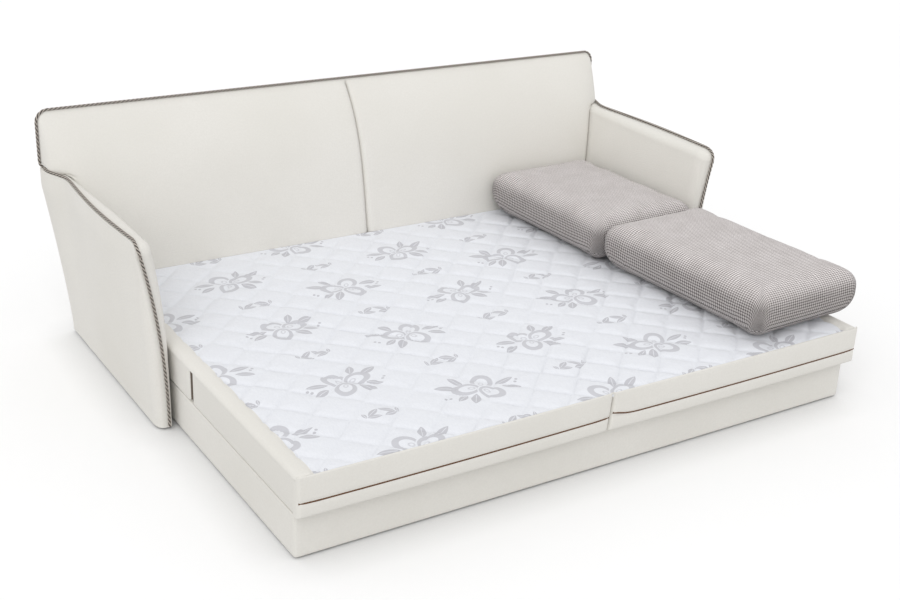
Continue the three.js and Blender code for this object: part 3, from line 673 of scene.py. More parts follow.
def cord_finish(name, light, dark):
    """Twisted cord: the tone of each strand is stored round the cord."""
    cord = Finish(name, light, 0.85, specular=0.15, sheen=0.1)
    tone = cord.add("ShaderNodeAttribute", "Fac", {"attribute_name": "strand"})
    fibre = cord.noise(1500.0, detail=2.0)
    colour = cord.mix(cord.ramp(tone, 0.25, 0.75, 0.0, 1.0), dark, light)
    cord.colour(cord.mix(cord.ramp(fibre, 0.3, 0.7, 0.0, 0.4), colour, dark))
    cord.bump(fibre, 0.0004, 0.5)
    return cord.material


def sliced(bm, axis, low, high, pitch):
    """Cuts a mesh across one axis every pitch, so that its faces can bend."""
    for place in np.arange(low + pitch / 2, high, pitch):
        cut_at(bm, axis, place)


def points_in(geometry):
    return [part for part in geometry if isinstance(part, bmesh.types.BMVert)]


def drawn_out(bm, faces, shift):
    """Draws faces out by a shift."""
    drawn = bmesh.ops.extrude_face_region(bm, geom=faces)["geom"]
    bmesh.ops.translate(bm, vec=shift, verts=points_in(drawn))


def rolled_off(distance, reach):
    """How far a rounded edge falls back at a distance from it, as a share of its rounding."""
    return 1 - np.sqrt(1 - (1 - np.clip(distance / reach, 0, 1)) ** 2)


def drawn_cord(name, line, radius, finish, strands, lead, sides, lobe, step, across):
    """A cord drawn out ring by ring along a line of points; its strands repeat once a lead."""
    corners = np.array(line, float)
    lengths = np.linalg.norm(np.diff(corners, axis=0), axis=1)
    distance = np.concatenate([[0], np.cumsum(lengths)])
    places = np.linspace(0, distance[-1], max(2, round(distance[-1] / step) + 1))
    middle = np.stack([np.interp(places, distance, corners[:, k]) for k in range(3)], axis=1)
    bm = bmesh.new()
    bmesh.ops.create_circle(bm, cap_ends=True, segments=sides, radius=radius)
    tone = bm.verts.layers.float.new("strand")
    ring = list(bm.faces[:][0].verts)
    angles = [math.atan2(v.co.y, v.co.x) for v in ring]
    edges = bm.edges[:]
    for k, point in enumerate(middle):
        if k:
            grown = bmesh.ops.extrude_edge_only(bm, edges=edges)["geom"]
            fresh = set(points_in(grown))
            ring = [next(e.other_vert(v) for e in v.link_edges if e.other_vert(v) in fresh) for v in ring]
            edges = [part for part in grown if isinstance(part, bmesh.types.BMEdge)]
        ahead = Vector(middle[min(k + 1, len(middle) - 1)] - middle[max(k - 1, 0)]).normalized()
        out = Vector(across)
        out = (out - ahead * out.dot(ahead)).normalized()
        up = ahead.cross(out)
        for v, angle in zip(ring, angles):
            wind = math.cos(strands * (angle + 2 * math.pi * places[k] / (strands * lead)))
            r = radius * (1 - lobe + lobe * wind)
            v.co = Vector(point) + out * (r * math.cos(angle)) + up * (r * math.sin(angle))
            v[tone] = 0.5 + 0.5 * wind
    bmesh.ops.holes_fill(bm, edges=edges, sides=0)
    return kept(name, bm, finish, sharp=70)


brown_piping = cord_finish("brown_piping", (0.20, 0.105, 0.055), (0.09, 0.042, 0.02))


def border_bulge(x, z, ends):
    """How far the border stands forward: bowed along each half and padded between its seams."""
    along = np.clip((x - ends[0]) / (ends[1] - ends[0]), 0, 1)
    bow = border_bow * np.sin(math.pi * along)
    up = np.clip((z - block_low) / (bed_top - block_low), 0, 1)
    pad = border_pad * np.sin(math.pi * up) ** border_fullness
    groove = piping_groove * np.exp(-(((z - piping_height) / piping_groove_reach) ** 2))
    rolled = border_end * rolled_off(np.minimum(x - ends[0], ends[1] - x), border_end)
    return bow + pad * np.clip(np.sin(math.pi * along) * border_pad_fade, 0, 1) - groove - rolled


def border_leaning(x, z):
    """How far the cloth beside the middle seam leans over, more so towards the foot."""
    down = 1 - np.clip((z - block_low) / (bed_top - block_low), 0, 1)
    return border_lean * down**border_lean_curve * np.exp(-((x / border_lean_reach) ** 2))


for word, side in (("left", -1), ("right", 1)):
    ends = sorted((side * border_split, side * bed_half))
    bm = bmesh.new()
    lip_front, lip_low = cover_front - border_lip_gap, cover_low - border_lip_gap
    profile = [
        (border_rear, block_low), (border_face, block_low), (border_face, border_top),
        (lip_front, border_top), (lip_front, lip_low), (border_rear, lip_low),
    ]
    end_face = bm.faces.new([bm.verts.new((ends[0], y, z)) for y, z in profile])
    drawn_out(bm, [end_face], (ends[1] - ends[0], 0, 0))
    bmesh.ops.recalc_face_normals(bm, faces=bm.faces)
    face_edges = edges_at(bm, 1, border_face)
    rounded(bm, [e for e in face_edges if middle_of(e).z < border_top - closeness], border_round, 4)
    face_edges = edges_at(bm, 1, border_face)
    rounded(bm, [e for e in face_edges if middle_of(e).z > border_top - closeness], border_top_round, 3)
    sliced(bm, 0, ends[0], ends[1], border_pitch)
    for end, inward in ((ends[0], 1), (ends[1], -1)):
        for inset in border_end_cuts:
            cut_at(bm, 0, end + inward * inset)
    sliced(bm, 2, block_low, border_top, border_row)
    border = kept(f"border_{word}", bm, cream, sharp=50)

    def bowed(points, ends=ends):
        x, y, z = points.T
        forward = np.clip((border_rear - y) / (border_rear - border_face), 0, 1) ** 2
        moved_y = y - forward * border_bulge(x, z, ends)
        return np.stack([x - border_leaning(x, z), moved_y, z], axis=1)

    reshaped(border.data, bowed)
    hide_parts(f"front_border_{word}")
    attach(border, "folding_section")
    stations = np.linspace(ends[0] + piping_inset, ends[1] - piping_inset, 60)
    height = piping_height + max(side, 0) * piping_turn * np.exp(-((stations / piping_turn_reach) ** 2))
    depth = border_face - border_bulge(stations, height, ends) + piping_sunk
    line = np.stack([stations - border_leaning(stations, height), depth, height], axis=1)
    piping = drawn_cord(
        f"border_piping_{word}", line, piping_radius, brown_piping, 2, piping_lead,
        sides=8, lobe=0.0, step=0.002, across=(0, 0, 1),
    )
    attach(piping, "folding_section")


# Base drawer: a box without a top in padded cream cloth. Its front and sides are one cover with a
# seam down each corner; its timber and castors show from below.
drawer_half = 1.078
drawer_front = -0.8650
drawer_rear = 0.1263
drawer_wall_front = 0.04
drawer_wall_side = 0.025
drawer_low = 0.006
drawer_high = 0.1480
drawer_round = 0.012
drawer_rim_round = 0.005
drawer_pitch = 0.06
drawer_row = 0.03

bm = bmesh.new()
inner_half, inner_front = drawer_half - drawer_wall_side, drawer_front + drawer_wall_front
plan = [
    (-drawer_half, drawer_front), (drawer_half, drawer_front), (drawer_half, drawer_rear),
    (inner_half, drawer_rear), (inner_half, inner_front), (-inner_half, inner_front),
    (-inner_half, drawer_rear), (-drawer_half, drawer_rear),
]
floor_face = bm.faces.new([bm.verts.new((x, y, drawer_low)) for x, y in plan])
drawn_out(bm, [floor_face], (0, 0, drawer_high - drawer_low))
outer_corners = [e for e in bm.edges if upright(e) and abs(abs(middle_of(e).x) - drawer_half) < closeness]
rounded(bm, outer_corners, drawer_round, 4)
rims = [
    e for e in bm.edges
    if not upright(e) and (
        abs(abs(middle_of(e).x) - drawer_half) < drawer_round
        or abs(middle_of(e).y - drawer_front) < drawer_round
    )
]
rounded(bm, rims, drawer_rim_round, 3)
sliced(bm, 0, -drawer_half, drawer_half, drawer_pitch)
sliced(bm, 1, drawer_front, drawer_rear, drawer_pitch)
sliced(bm, 2, drawer_low, drawer_high, drawer_row)
base_cover = kept("drawer_cover", bm, cream, sharp=40)
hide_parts("drawer_front", "drawer_side_left", "drawer_side_right")
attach(base_cover, "base_drawer")


# Arms: a padded cover over a leaning panel, flared outwards and more so at the rear. Its nose is
# gathered to a ridge that carries the cord; the cloth rolls off it to both sides.
arm_front = 0.0155
arm_rear = 0.9122
arm_low = 0.0083
arm_high = 0.660
arm_inner_foot = 1.094
arm_outer_foot = 1.1485
arm_inner_flare = 0.040
arm_inner_swing = 0.024
arm_inner_swing_start = 0.3
arm_inner_swing_run = 0.6
arm_inner_bend = 0.45
arm_inner_curve = 1.7
arm_outer_full = 0.9
arm_outer_curve = 1.3
arm_crest_foot = 1.1815
arm_crest_bulge = 0.013
arm_crest_bulge_end = 0.74
arm_crest_flare = 0.037
arm_crest_flare_start = 0.78
arm_crest_flare_run = 0.16
arm_nose_depth = 0.050
arm_nose_drop = 0.038
arm_nose_strip = 0.003
arm_nose_fullness = 0.6
arm_nose_round_share = 0.3
arm_ridge_foot = 1.111
arm_ridge_lean = 0.076
arm_ridge_curve = 2.2
arm_top_round = 0.034
arm_puff = 0.003
trim_reach = 0.0060


def ridge_at(share):
    return arm_ridge_foot + arm_ridge_lean * np.clip(share, 0, 1) ** arm_ridge_curve


def arm_crest(run):
    """Where the cord lies on the arm's top: bowed along it, then swung out under the wing."""
    swing = np.clip((run - arm_crest_flare_start) / arm_crest_flare_run, 0, 1)
    bulge = arm_crest_bulge * np.sin(math.pi * np.clip(run / arm_crest_bulge_end, 0, 1))
    return arm_crest_foot + bulge + arm_crest_flare * swing**2 * (3 - 2 * swing)


def arm_inner_at(share, run=1.0):
    """The inner face stands upright beside the bed and bends outwards above it, more so at the
    back."""
    bent = np.clip((share - arm_inner_bend) / (1 - arm_inner_bend), 0, 1) ** arm_inner_curve
    swing = np.clip((run - arm_inner_swing_start) / arm_inner_swing_run, 0, 1)
    return arm_inner_foot + (arm_inner_flare + arm_inner_swing * swing) * bent


def arm_outer_at(share, flare):
    return arm_outer_foot + flare * np.clip(share / arm_outer_full, 0, 1) ** arm_outer_curve


def healed(piece):
    """Merges the points that a rule has brought together, and shades the piece again."""
    bm = bmesh.new()
    bm.from_mesh(piece.data)
    bmesh.ops.remove_doubles(bm, verts=bm.verts, dist=closeness)
    bmesh.ops.recalc_face_normals(bm, faces=bm.faces)
    bm.to_mesh(piece.data)
    bm.free()
    piece.data.set_sharp_from_angle(angle=math.radians(60))


def add_arm(word, side):
    up_cells, top_cells, round_cells, down_cells = 44, 8, 10, 40
    cells = up_cells + top_cells + round_cells + down_cells
    nose_cells, body_cells = 14, 60
    deep = nose_cells + body_cells
    bm = bmesh.new()
    bmesh.ops.create_grid(bm, x_segments=cells, y_segments=deep, size=1.0)
    sheet_closed(bm)
    arm = kept(f"arm_{word}", bm, cream, sharp=60)

    def dressed(points):
        i = np.round((points[:, 0] + 1) / 2 * cells)
        j = np.round((points[:, 1] + 1) / 2 * deep)
        angle = np.clip(j / nose_cells, 0, 1) * math.pi / 2
        run = np.clip((j - nose_cells) / body_cells, 0, 1)
        body_depth = arm_rear - arm_front - arm_nose_depth
        y = arm_front + arm_nose_depth * (1 - np.cos(angle)) + run * body_depth
        nose = np.sin(angle)
        spread = nose**arm_nose_fullness
        flare = arm_crest(run) + trim_reach - arm_outer_foot
        top = arm_high - arm_nose_drop * (1 - nose)

        def outer(share):
            ridge = ridge_at(share) + arm_nose_strip
            return ridge + (arm_outer_at(share, flare) - ridge) * spread

        def inner(share):
            ridge = ridge_at(share) - arm_nose_strip
            return ridge + (arm_inner_at(share, run) - ridge) * spread

        high = arm_top_round * (arm_nose_round_share + (1 - arm_nose_round_share) * nose)
        roll_foot = inner(1 - high / (top - arm_low))
        wide = np.minimum(arm_top_round, outer(1.0) - roll_foot - arm_nose_strip)
        rise = np.clip(i / up_cells, 0, 1)
        over = np.clip((i - up_cells) / top_cells, 0, 1)
        roll = np.clip((i - up_cells - top_cells) / round_cells, 0, 1) * math.pi / 2
        down = np.clip((i - up_cells - top_cells - round_cells) / down_cells, 0, 1)
        roll_start = roll_foot + wide
        x = np.where(i <= up_cells, outer(rise), outer(1.0) + over * (roll_start - outer(1.0)))
        z = np.where(i <= up_cells, arm_low + rise * (top - arm_low), top)
        on_roll = i > up_cells + top_cells
        x = np.where(on_roll, roll_foot + wide * (1 - np.sin(roll)), x)
        z = np.where(on_roll, top - high * (1 - np.cos(roll)), z)
        on_inner = i > up_cells + top_cells + round_cells
        below = top - high - down * (top - high - arm_low)
        share = (below - arm_low) / (top - arm_low)
        x = np.where(on_inner, inner(share), x)
        z = np.where(on_inner, below, z)
        length_share = np.clip((y - arm_front) / (arm_rear - arm_front), 0, 1)
        puff = arm_puff * np.sqrt(np.sin(math.pi * length_share))
        x = x + np.where(i <= up_cells, puff * np.sin(math.pi * rise) * nose, 0)
        return np.stack([side * x, y, z], axis=1)

    reshaped(arm.data, dressed)
    healed(arm)
    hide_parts(f"arm_cover_{word}")
    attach(arm, "sofa_frame")


for word, side in (("left", -1), ("right", 1)):
    add_arm(word, side)


# Back: two padded halves that roll into a seam in the middle, stand between the arms and reach out
# over them in wings. The cloth curls back to the corded rear edge.
back_top = 0.866
back_half = 1.222
back_wing = 0.132
back_seam = 0.0030
back_side_gap = 0.0022
back_corner = 0.038
back_corner_low = 0.028
back_rise = 0.578
back_lean = 0.100
back_curl = 0.112
back_foot = 0.6875
back_low = 0.1553
back_rear = 0.9002
back_crown = 0.009
back_crowding = 0.10
wing_low = 0.6612
wing_depth_share = 0.35
wing_rim_start = 1.15
seam_roll = 0.020
seam_dip = 0.020
side_roll = 0.016
side_dip = 0.012
rim_roll = 0.014
rim_dip = 0.010
rim_gap = 0.001


def back_face(z):
    share = np.clip((z - bed_top) / back_rise, 0, None)
    return back_foot + back_lean * share + back_curl * share**4


def inner_edge(z):
    """Where a back half ends at the side: on the arm's inner face and over its rounded top."""
    over = np.clip((z - (arm_high - arm_top_round)) / arm_top_round, 0, 1)
    share = (np.minimum(z, arm_high - arm_top_round) - arm_low) / (arm_high - arm_low)
    rounding = arm_top_round * rolled_off(1 - over, 1)
    return arm_inner_at(share) - back_side_gap * (1 - over) + rounding


def add_back(word, side):
    body_cells, wing_cells = 96, 14
    low_cells, high_cells = 56, 30
    cells = body_cells + wing_cells
    rows = low_cells + high_cells
    bm = bmesh.new()
    bmesh.ops.create_grid(bm, x_segments=cells, y_segments=rows, size=1.0)
    wing_x = 2 * body_cells / cells - 1
    wing_y = 2 * low_cells / rows - 1
    cut = [f for f in bm.faces if f.calc_center_median().x > wing_x and f.calc_center_median().y < wing_y]
    bmesh.ops.delete(bm, geom=cut, context="FACES")
    rim = [e for e in bm.edges if e.is_boundary]
    for _ in range(2):
        fresh = points_in(bmesh.ops.extrude_edge_only(bm, edges=rim)["geom"])
        bmesh.ops.translate(bm, vec=(0, 0, 1), verts=fresh)
        newest = set(fresh)
        rim = [e for e in bm.edges if e.verts[0] in newest and e.verts[1] in newest]
    bmesh.ops.holes_fill(bm, edges=rim, sides=0)
    pad = kept(f"back_{word}", bm, cream, sharp=60)

    def dressed(points):
        i = (points[:, 0] + 1) / 2 * cells
        j = (points[:, 1] + 1) / 2 * rows
        layer = np.round(points[:, 2])
        lower = np.clip(j / low_cells, 0, 1)
        upper = np.clip((j - low_cells) / high_cells, 0, 1)
        eased = 0.5 - 0.5 * np.cos(math.pi * upper)
        z = back_low + lower * (wing_low - back_low) + eased * (back_top - wing_low)
        body = np.clip(i / body_cells, 0, 1)
        body = body - back_crowding * np.sin(2 * math.pi * body) / (2 * math.pi)
        wing = np.clip((i - body_cells) / wing_cells, 0, 1)
        short = np.clip(back_corner - (back_top - z), 0, back_corner)
        short_low = np.clip(back_corner_low - (z - wing_low), 0, back_corner_low)
        outer = back_half - back_corner + np.sqrt(back_corner**2 - short**2)
        outer = outer - back_corner_low + np.sqrt(back_corner_low**2 - short_low**2)
        x = back_seam + body * (inner_edge(z) - back_seam) + wing * (outer - inner_edge(z))
        dip = seam_dip * rolled_off(x, seam_roll)
        beside_arm = np.where(z < wing_low, inner_edge(z) - x, side_roll)
        rolled = side_dip * rolled_off(beside_arm, side_roll)
        above = np.clip((z - bed_top) / (back_top - bed_top), 0, 1)
        crown = back_crown * np.sin(math.pi * np.clip(x / back_half, 0, 1)) * np.sin(math.pi * above)
        face = back_face(z) + dip + rolled - crown
        reach = np.clip((x - (back_half - back_wing)) / back_wing, 0, 1)
        depth = wing_depth_share + (1 - wing_depth_share) * np.sqrt(1 - reach**2)
        y = back_rear - (back_rear - face) * depth
        wing_edge = np.where(x > wing_rim_start, np.minimum(outer - x, z - wing_low), 1)
        soft = rim_dip * rolled_off(np.minimum(back_top - z, wing_edge), rim_roll)
        y = np.minimum(y + soft, back_rear - rim_gap)
        y = np.where(layer < 0.5, y, np.where(layer < 1.5, (y + back_rear) / 2, back_rear))
        return np.stack([side * x, y, z], axis=1)

    reshaped(pad.data, dressed)
    healed(pad)
    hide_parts(f"back_pad_{word}")
    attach(pad, "sofa_frame")


for word, side in (("left", -1), ("right", 1)):
    add_back(word, side)


# Rear panel: a thin board in the same cloth that closes the back, with rounded wing corners.
panel_front = 0.9005
panel_rear = 0.9125
panel_low = 0.012
panel_round = 0.003

outline = [(0.0, panel_low), (inner_edge(panel_low), panel_low), (inner_edge(wing_low), wing_low)]
for radius, rise, start in ((back_corner_low, wing_low, -math.pi / 2), (back_corner, back_top, 0)):
    centre_x = back_half - radius
    centre_z = rise + radius if start < 0 else rise - radius
    for angle in np.linspace(start, start + math.pi / 2, 9):
        outline.append((centre_x + radius * math.cos(angle), centre_z + radius * math.sin(angle)))
outline.append((0.0, back_top))
bm = bmesh.new()
half_face = bm.faces.new([bm.verts.new((x, panel_front, z)) for x, z in outline])
copy = bmesh.ops.duplicate(bm, geom=[half_face] + list(half_face.verts) + list(half_face.edges))["geom"]
bmesh.ops.scale(bm, vec=(-1, 1, 1), verts=points_in(copy))
bmesh.ops.remove_doubles(bm, verts=bm.verts, dist=merge_distance)
bmesh.ops.recalc_face_normals(bm, faces=bm.faces)
bmesh.ops.dissolve_faces(bm, faces=bm.faces[:], use_verts=False)
drawn_out(bm, bm.faces[:], (0, panel_rear - panel_front, 0))
rounded(bm, edges_at(bm, 1, panel_rear), panel_round, 2)
rear_panel = kept("rear_cloth_panel", bm, cream, sharp=40)
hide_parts("rear_panel")
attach(rear_panel, "sofa_frame")


# Corded trim: a two-tone twisted cord sewn round the wings and top of the back, and along each
# arm and down its nose.
cord_radius = 0.0055
cord_lead = 0.0165
cord_strands = 3
cord_foot = 0.014
wing_plane = 0.8999
corner_end = -math.radians(42)
corner_pull = 0.03
run_share = 0.95

two_tone = cord_finish("two_tone_cord", (0.62, 0.56, 0.50), (0.025, 0.021, 0.019))


def curve(start, leave, arrive, end, count):
    """A smooth line between two points, leaving and arriving along given directions."""
    start, leave, arrive, end = (np.array(v, float) for v in (start, leave, arrive, end))
    line = []
    for t in np.linspace(0, 1, count):
        line.append(
            (1 + 2 * t) * (1 - t) ** 2 * start + t * (1 - t) ** 2 * leave
            + t * t * (3 - 2 * t) * end - t * t * (1 - t) * arrive
        )
    return [tuple(point) for point in line]


nose_z = arm_high + trim_reach
arm_run_start = arm_front + arm_nose_depth
half = []
for share in np.linspace(0, run_share, 24):
    z = cord_foot + share * (arm_high - cord_foot)
    half.append((ridge_at(z / arm_high), arm_front - trim_reach, z))
for angle in np.linspace(math.pi / 2, 0, 14)[:-1]:
    z = nose_z - (arm_nose_drop + trim_reach) * (1 - math.cos(angle))
    gather = math.sin(angle) ** 2
    x = gather * ridge_at(z / nose_z) + (1 - gather) * arm_crest(0.0)
    half.append((x, arm_run_start - (arm_nose_depth + trim_reach) * math.sin(angle), z))
for run in np.linspace(0, run_share, 40):
    half.append((arm_crest(run), arm_run_start + run * (arm_rear - arm_run_start), nose_z))
low_x, low_z = back_half - back_corner_low, wing_low + back_corner_low
low_round = back_corner_low + trim_reach
top_x, top_z, top_round = back_half - back_corner, back_top - back_corner, back_corner + trim_reach
corner = (low_x + low_round * math.cos(corner_end), wing_plane, low_z + low_round * math.sin(corner_end))
rising = (-math.sin(corner_end) * corner_pull, 0, math.cos(corner_end) * corner_pull)
half += curve(half[-1], (0, corner_pull, 0), rising, corner, 12)[1:]
for x, z, radius, angles in (
    (low_x, low_z, low_round, np.linspace(corner_end, 0, 10)[1:]),
    (top_x, top_z, top_round, np.linspace(0, math.pi / 2, 12)),
):
    for angle in angles:
        half.append((x + radius * math.cos(angle), wing_plane, z + radius * math.sin(angle)))
route = half + [(-x, y, z) for x, y, z in reversed(half)]
trim = drawn_cord(
    "trim_cord", route, cord_radius, two_tone, cord_strands, cord_lead,
    sides=12, lobe=0.16, step=0.0028, across=(0.3, 0.5, 0.1),
)
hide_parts("back_trim", "arm_trim_left", "arm_trim_right")
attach(trim, "sofa_frame")


# Loose cushions: two plump boxes in a chunky grey weave, lying end to end along the right side.
# They are filled by pressure from a slightly smaller shape and lie flat on the ticking.
cushion_width = 0.520
cushion_height = 0.188
cushion_low = 0.2883
cushion_corner = 0.050
cushion_edge = 0.052
cushion_slack = 0.004
cushion_grow = 0.006
cushion_crown = 0.014
cushion_drawn = 0.007
cushion_tuck = 0.035
cushion_tuck_height = 0.095
cushion_tuck_curve = 1.7
cushion_lean_start = 0.03
cushion_lean_run = 0.04
cushion_facing_down = -0.6
turn_room = 0.0045
cushion_voxel = 0.008
cushion_cap = 0.012
cushion_fill_force = 4
cushion_fill_steps = 20
weave_pitch = 0.0105


def grey_weave():
    """Chunky basket weave: pale warp and weft over a darker ground, with painted shade on its sides and
    underside.
    """
    light = (0.89, 0.84, 0.835)
    mid = (0.70, 0.652, 0.64)
    shade = (0.22, 0.195, 0.183)
    dark = (0.045, 0.037, 0.033)
    weave = Finish("grey_weave", light, 0.9, specular=0.12, sheen=0.2)
    st = weave.add("ShaderNodeUVMap", "UV", {"uv_map": "weave"})
    parts = weave.tree.nodes.new("ShaderNodeSeparateXYZ")
    weave.set(parts.inputs[0], st)
    u = Number(weave, parts.outputs["X"])
    v = Number(weave, parts.outputs["Y"])
    parity = (u.do("FLOOR") + v.do("FLOOR")).do("PINGPONG", 1.0)
    over_u = (u.do("FRACT") * math.pi).do("SINE")
    over_v = (v.do("FRACT") * math.pi).do("SINE")
    warp = over_u.do("POWER", 0.5) * (over_v * 0.55 + 0.45)
    weft = over_v.do("POWER", 0.5) * (over_u * 0.55 + 0.45)
    height = warp * parity + weft * (parity * -1 + 1)
    fluff = weave.noise(420.0, detail=3.0)
    broad = weave.noise(14.0, detail=2.0)
    thread = weave.mix(weave.ramp(broad, 0.3, 0.7, 0.0, 0.6), light, mid)
    thread = weave.mix(weave.ramp(fluff, 0.35, 0.75, 0.0, 0.5), thread, mid)
    # Painted light and shade: threads and ground are lighter on faces turned up and darker on the sides
    # and underside, as if lit from above.
    facing = weave.tree.nodes.new("ShaderNodeSeparateXYZ")
    weave.set(facing.inputs[0], weave.coordinates.outputs["Normal"])
    painted_top_light = weave.ramp(facing.outputs["Z"], 0.1, 0.9, 0.0, 1.0)
    thread = weave.mix(painted_top_light, weave.mix(0.55, thread, shade), thread)
    ground = weave.mix(painted_top_light, dark, shade)
    weave.colour(weave.mix(weave.ramp(height.socket, 0.34, 0.72, 0.0, 1.0), ground, thread))
    weave.bump(height.socket, 0.003, 1.0)
    weave.bump(fluff, 0.0008, 0.5)
    return weave.material


weave_finish = grey_weave()


def with_modifier(piece, name, kind, **settings):
    """Adds a modifier and applies it."""
    modifier = piece.modifiers.new(name, kind)
    for key, value in settings.items():
        setattr(modifier, key, value)
    bpy.context.view_layer.objects.active = piece
    bpy.ops.object.modifier_apply(modifier=name)


def filled_out(piece, cap):
    """Swells a closed mesh by cloth pressure, and lets no point move further than the cap."""
    before = rows_of(piece.data.vertices, "co")
    cloth = piece.modifiers.new("fill", "CLOTH")
    cloth.settings.use_pressure = True
    cloth.settings.uniform_pressure_force = cushion_fill_force
    cloth.settings.effector_weights.gravity = 0
    for step in range(1, cushion_fill_steps + 1):
        bpy.context.scene.frame_set(step)
    graph = bpy.context.evaluated_depsgraph_get()
    swollen = rows_of(piece.evaluated_get(graph).data.vertices, "co")
    piece.modifiers.remove(cloth)
    bpy.context.scene.frame_set(1)
    moved = swollen - before
    length = np.linalg.norm(moved, axis=1, keepdims=True)
    allowed = cap * np.tanh(length / cap)
    piece.data.vertices.foreach_set("co", (before + moved * allowed / np.maximum(length, 1e-9)).ravel())
    piece.data.update()


def woven(mesh):
    """Lays the weave over a cushion: flat on its top and underside, and down its sides."""
    points = rows_of(mesh.vertices, "co")
    drop = points[:, 2].max() - points[:, 2]
    sideways = rows_of(mesh.vertices, "normal")[:, :2] ** 2 + 1e-6
    shares = sideways / sideways.sum(axis=1, keepdims=True)
    st = points[:, :2] + np.sign(points[:, :2]) * drop[:, None] * shares
    corners = np.empty(len(mesh.loops), dtype=np.int64)
    mesh.loops.foreach_get("vertex_index", corners)
    counts = np.empty(len(mesh.polygons), dtype=np.int64)
    mesh.polygons.foreach_get("loop_total", counts)
    facing_down = rows_of(mesh.polygons, "normal")[:, 2] < cushion_facing_down
    underneath = np.repeat(facing_down, counts)
    st = np.where(underneath[:, None], points[corners, :2], st[corners])
    layer = mesh.uv_layers.new(name="weave")
    layer.data.foreach_set("uv", (st / weave_pitch).ravel())


def add_cushion(name, node, turn, shift, spare, lean, body):
    """A cushion turned by some degrees, shifted along the sofa, with its two ends moved by spare
    and its outer side leaning out."""
    low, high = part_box(node)
    low, high = low + Vector((shift, spare[0], 0)), high + Vector((shift, spare[1], 0))
    middle = (low + high) / 2
    half_length = (high.y - low.y) / 2 + cushion_grow - turn_room * abs(turn)
    half = (half_length, cushion_width / 2 + cushion_grow / 2)
    bm = box((-half[0], half[0]), (-half[1], half[1]), (cushion_slack, cushion_height - cushion_crown))
    rounded(bm, [e for e in bm.edges if upright(e)], cushion_corner, 6)
    flat_edges = [e for e in bm.edges if not upright(e) and len(e.link_faces) == 2
                  and abs(e.link_faces[0].normal.z - e.link_faces[1].normal.z) > 0.5]
    rounded(bm, flat_edges, cushion_edge, 6)
    cushion = kept(name, bm, weave_finish, sharp=180)
    with_modifier(cushion, "even", "REMESH", mode="VOXEL", voxel_size=cushion_voxel)
    with_modifier(cushion, "settle", "SMOOTH", factor=0.5, iterations=6)
    filled_out(cushion, cushion_cap)
    with_modifier(cushion, "settle", "SMOOTH", factor=0.5, iterations=4)
    with_modifier(cushion, "fine", "SUBSURF", levels=1, render_levels=1)

    def lay(points):
        x, y, z = points.T
        bare = np.clip(1 - (x / half[0]) ** 2, 0, 1) * np.clip(1 - (y / half[1]) ** 2, 0, 1)
        crown = cushion_crown / 2 * bare
        drawn = cushion_drawn * np.cos(math.pi / 2 * np.clip(x / half[0], -1, 1))
        y = y * (1 - drawn / half[1])
        tucked = cushion_tuck * np.clip(1 - z / cushion_tuck_height, 0, 1) ** cushion_tuck_curve
        x, y = x * (1 - tucked / half[0]), y * (1 - tucked / half[1])
        z = np.where(z > cushion_height / 2, z + crown * (z / cushion_height), z)
        z = np.clip(z, 0.0, None)
        risen = np.clip((z - cushion_lean_start) / cushion_lean_run, 0, 1)
        pressed = risen * np.clip(x / half[0], 0, 1) ** 4
        return np.stack([x + lean * pressed, y, z], axis=1)

    reshaped(cushion.data, lay)
    woven(cushion.data)
    turned = Matrix.Rotation(math.radians(90 + turn), 4, "Z")
    cushion.data.transform(Matrix.Translation((middle[0], middle[1], cushion_low)) @ turned)
    cushion.data.shade_smooth()
    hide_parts(node)
    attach(cushion, body)


for name, node, turn, shift, spare, lean, body in (
    ("rear_cushion_cover", "cushion_rear", 2.0, 0.006, (-0.030, 0.006), 0.024, "rear_cushion"),
    ("front_cushion_cover", "cushion_front", 2.4, 0.000, (0.042, 0.004), 0.0, "front_cushion"),
):
    add_cushion(name, node, turn, shift, spare, lean, body)


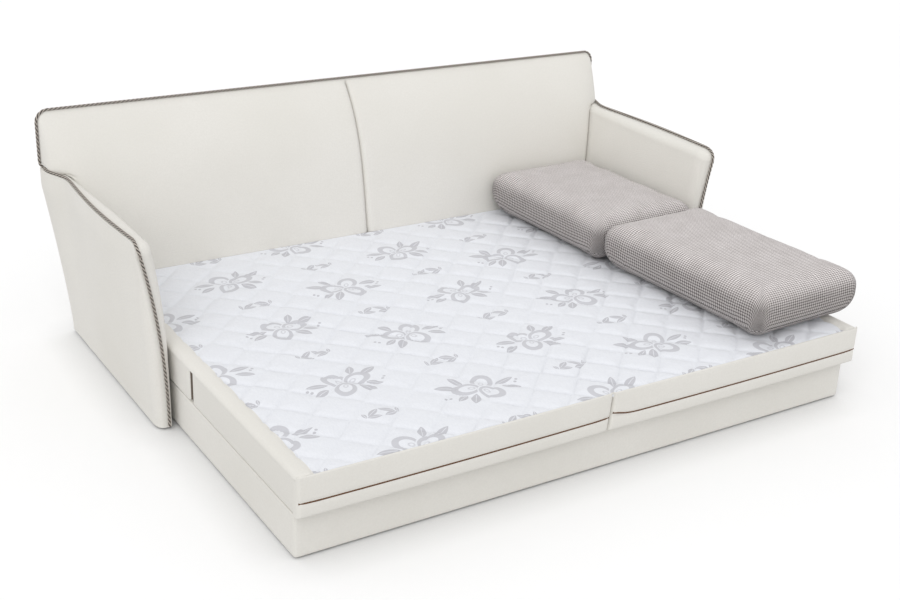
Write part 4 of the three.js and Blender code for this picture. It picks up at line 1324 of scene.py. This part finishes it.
# Frame, slats, runners, castors and glides: these keep their CAD shapes. Timber takes its grain
# along its longest side, and steel and plastic have their own finishes.
def pale_timber(axis):
    """Planed softwood with its grain along one axis."""
    stretch = [26.0, 26.0, 26.0]
    stretch[axis] = 1.6
    wood = Finish(f"softwood_{'xyz'[axis]}", (0.58, 0.42, 0.26), 0.6, specular=0.3)
    grain = wood.noise(1.0, detail=6.0, vector=wood.placed(scale=stretch))
    fine = wood.noise(9.0, detail=4.0, vector=wood.placed(scale=stretch))
    rings = wood.mix(wood.ramp(grain, 0.4, 0.62, 0.0, 1.0), (0.62, 0.46, 0.29), (0.50, 0.34, 0.19))
    wood.colour(wood.mix(wood.ramp(fine, 0.4, 0.7, 0.0, 0.35), rings, (0.44, 0.29, 0.16)))
    wood.bump(fine, 0.0004, 0.4)
    return wood.material


def zinc_steel():
    steel = Finish("zinc_steel", (0.60, 0.61, 0.63), 0.38, specular=0.5, metallic=1.0)
    spangle = steel.noise(90.0, detail=3.0)
    steel.set(steel.shader.inputs["Roughness"], steel.ramp(spangle, 0.3, 0.7, 0.28, 0.5))
    steel.bump(spangle, 0.0002, 0.3)
    return steel.material


def dark_plastic():
    plastic = Finish("dark_plastic", (0.028, 0.028, 0.029), 0.5, specular=0.4)
    grain = plastic.noise(700.0, detail=2.0)
    darker, paler = (0.024, 0.024, 0.025), (0.036, 0.036, 0.037)
    plastic.colour(plastic.mix(plastic.ramp(grain, 0.3, 0.7, 0.0, 1.0), darker, paler))
    plastic.bump(grain, 0.0002, 0.4)
    return plastic.material


timber = [pale_timber(axis) for axis in range(3)]
other_finishes = {"runner_steel": zinc_steel(), "glide_plastic": dark_plastic()}
slots = {entry["node"]: entry["material_slot"] for entry in frame["record"]["subparts"]}
for name, node in frame["nodes"].items():
    low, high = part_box(name)
    size = high - low
    longest = max(range(3), key=lambda k: size[k])
    is_timber = slots[name] == "frame_timber"
    finish = timber[longest] if is_timber else other_finishes.get(slots[name], cream)
    node.data.materials.clear()
    node.data.materials.append(finish)

low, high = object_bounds()
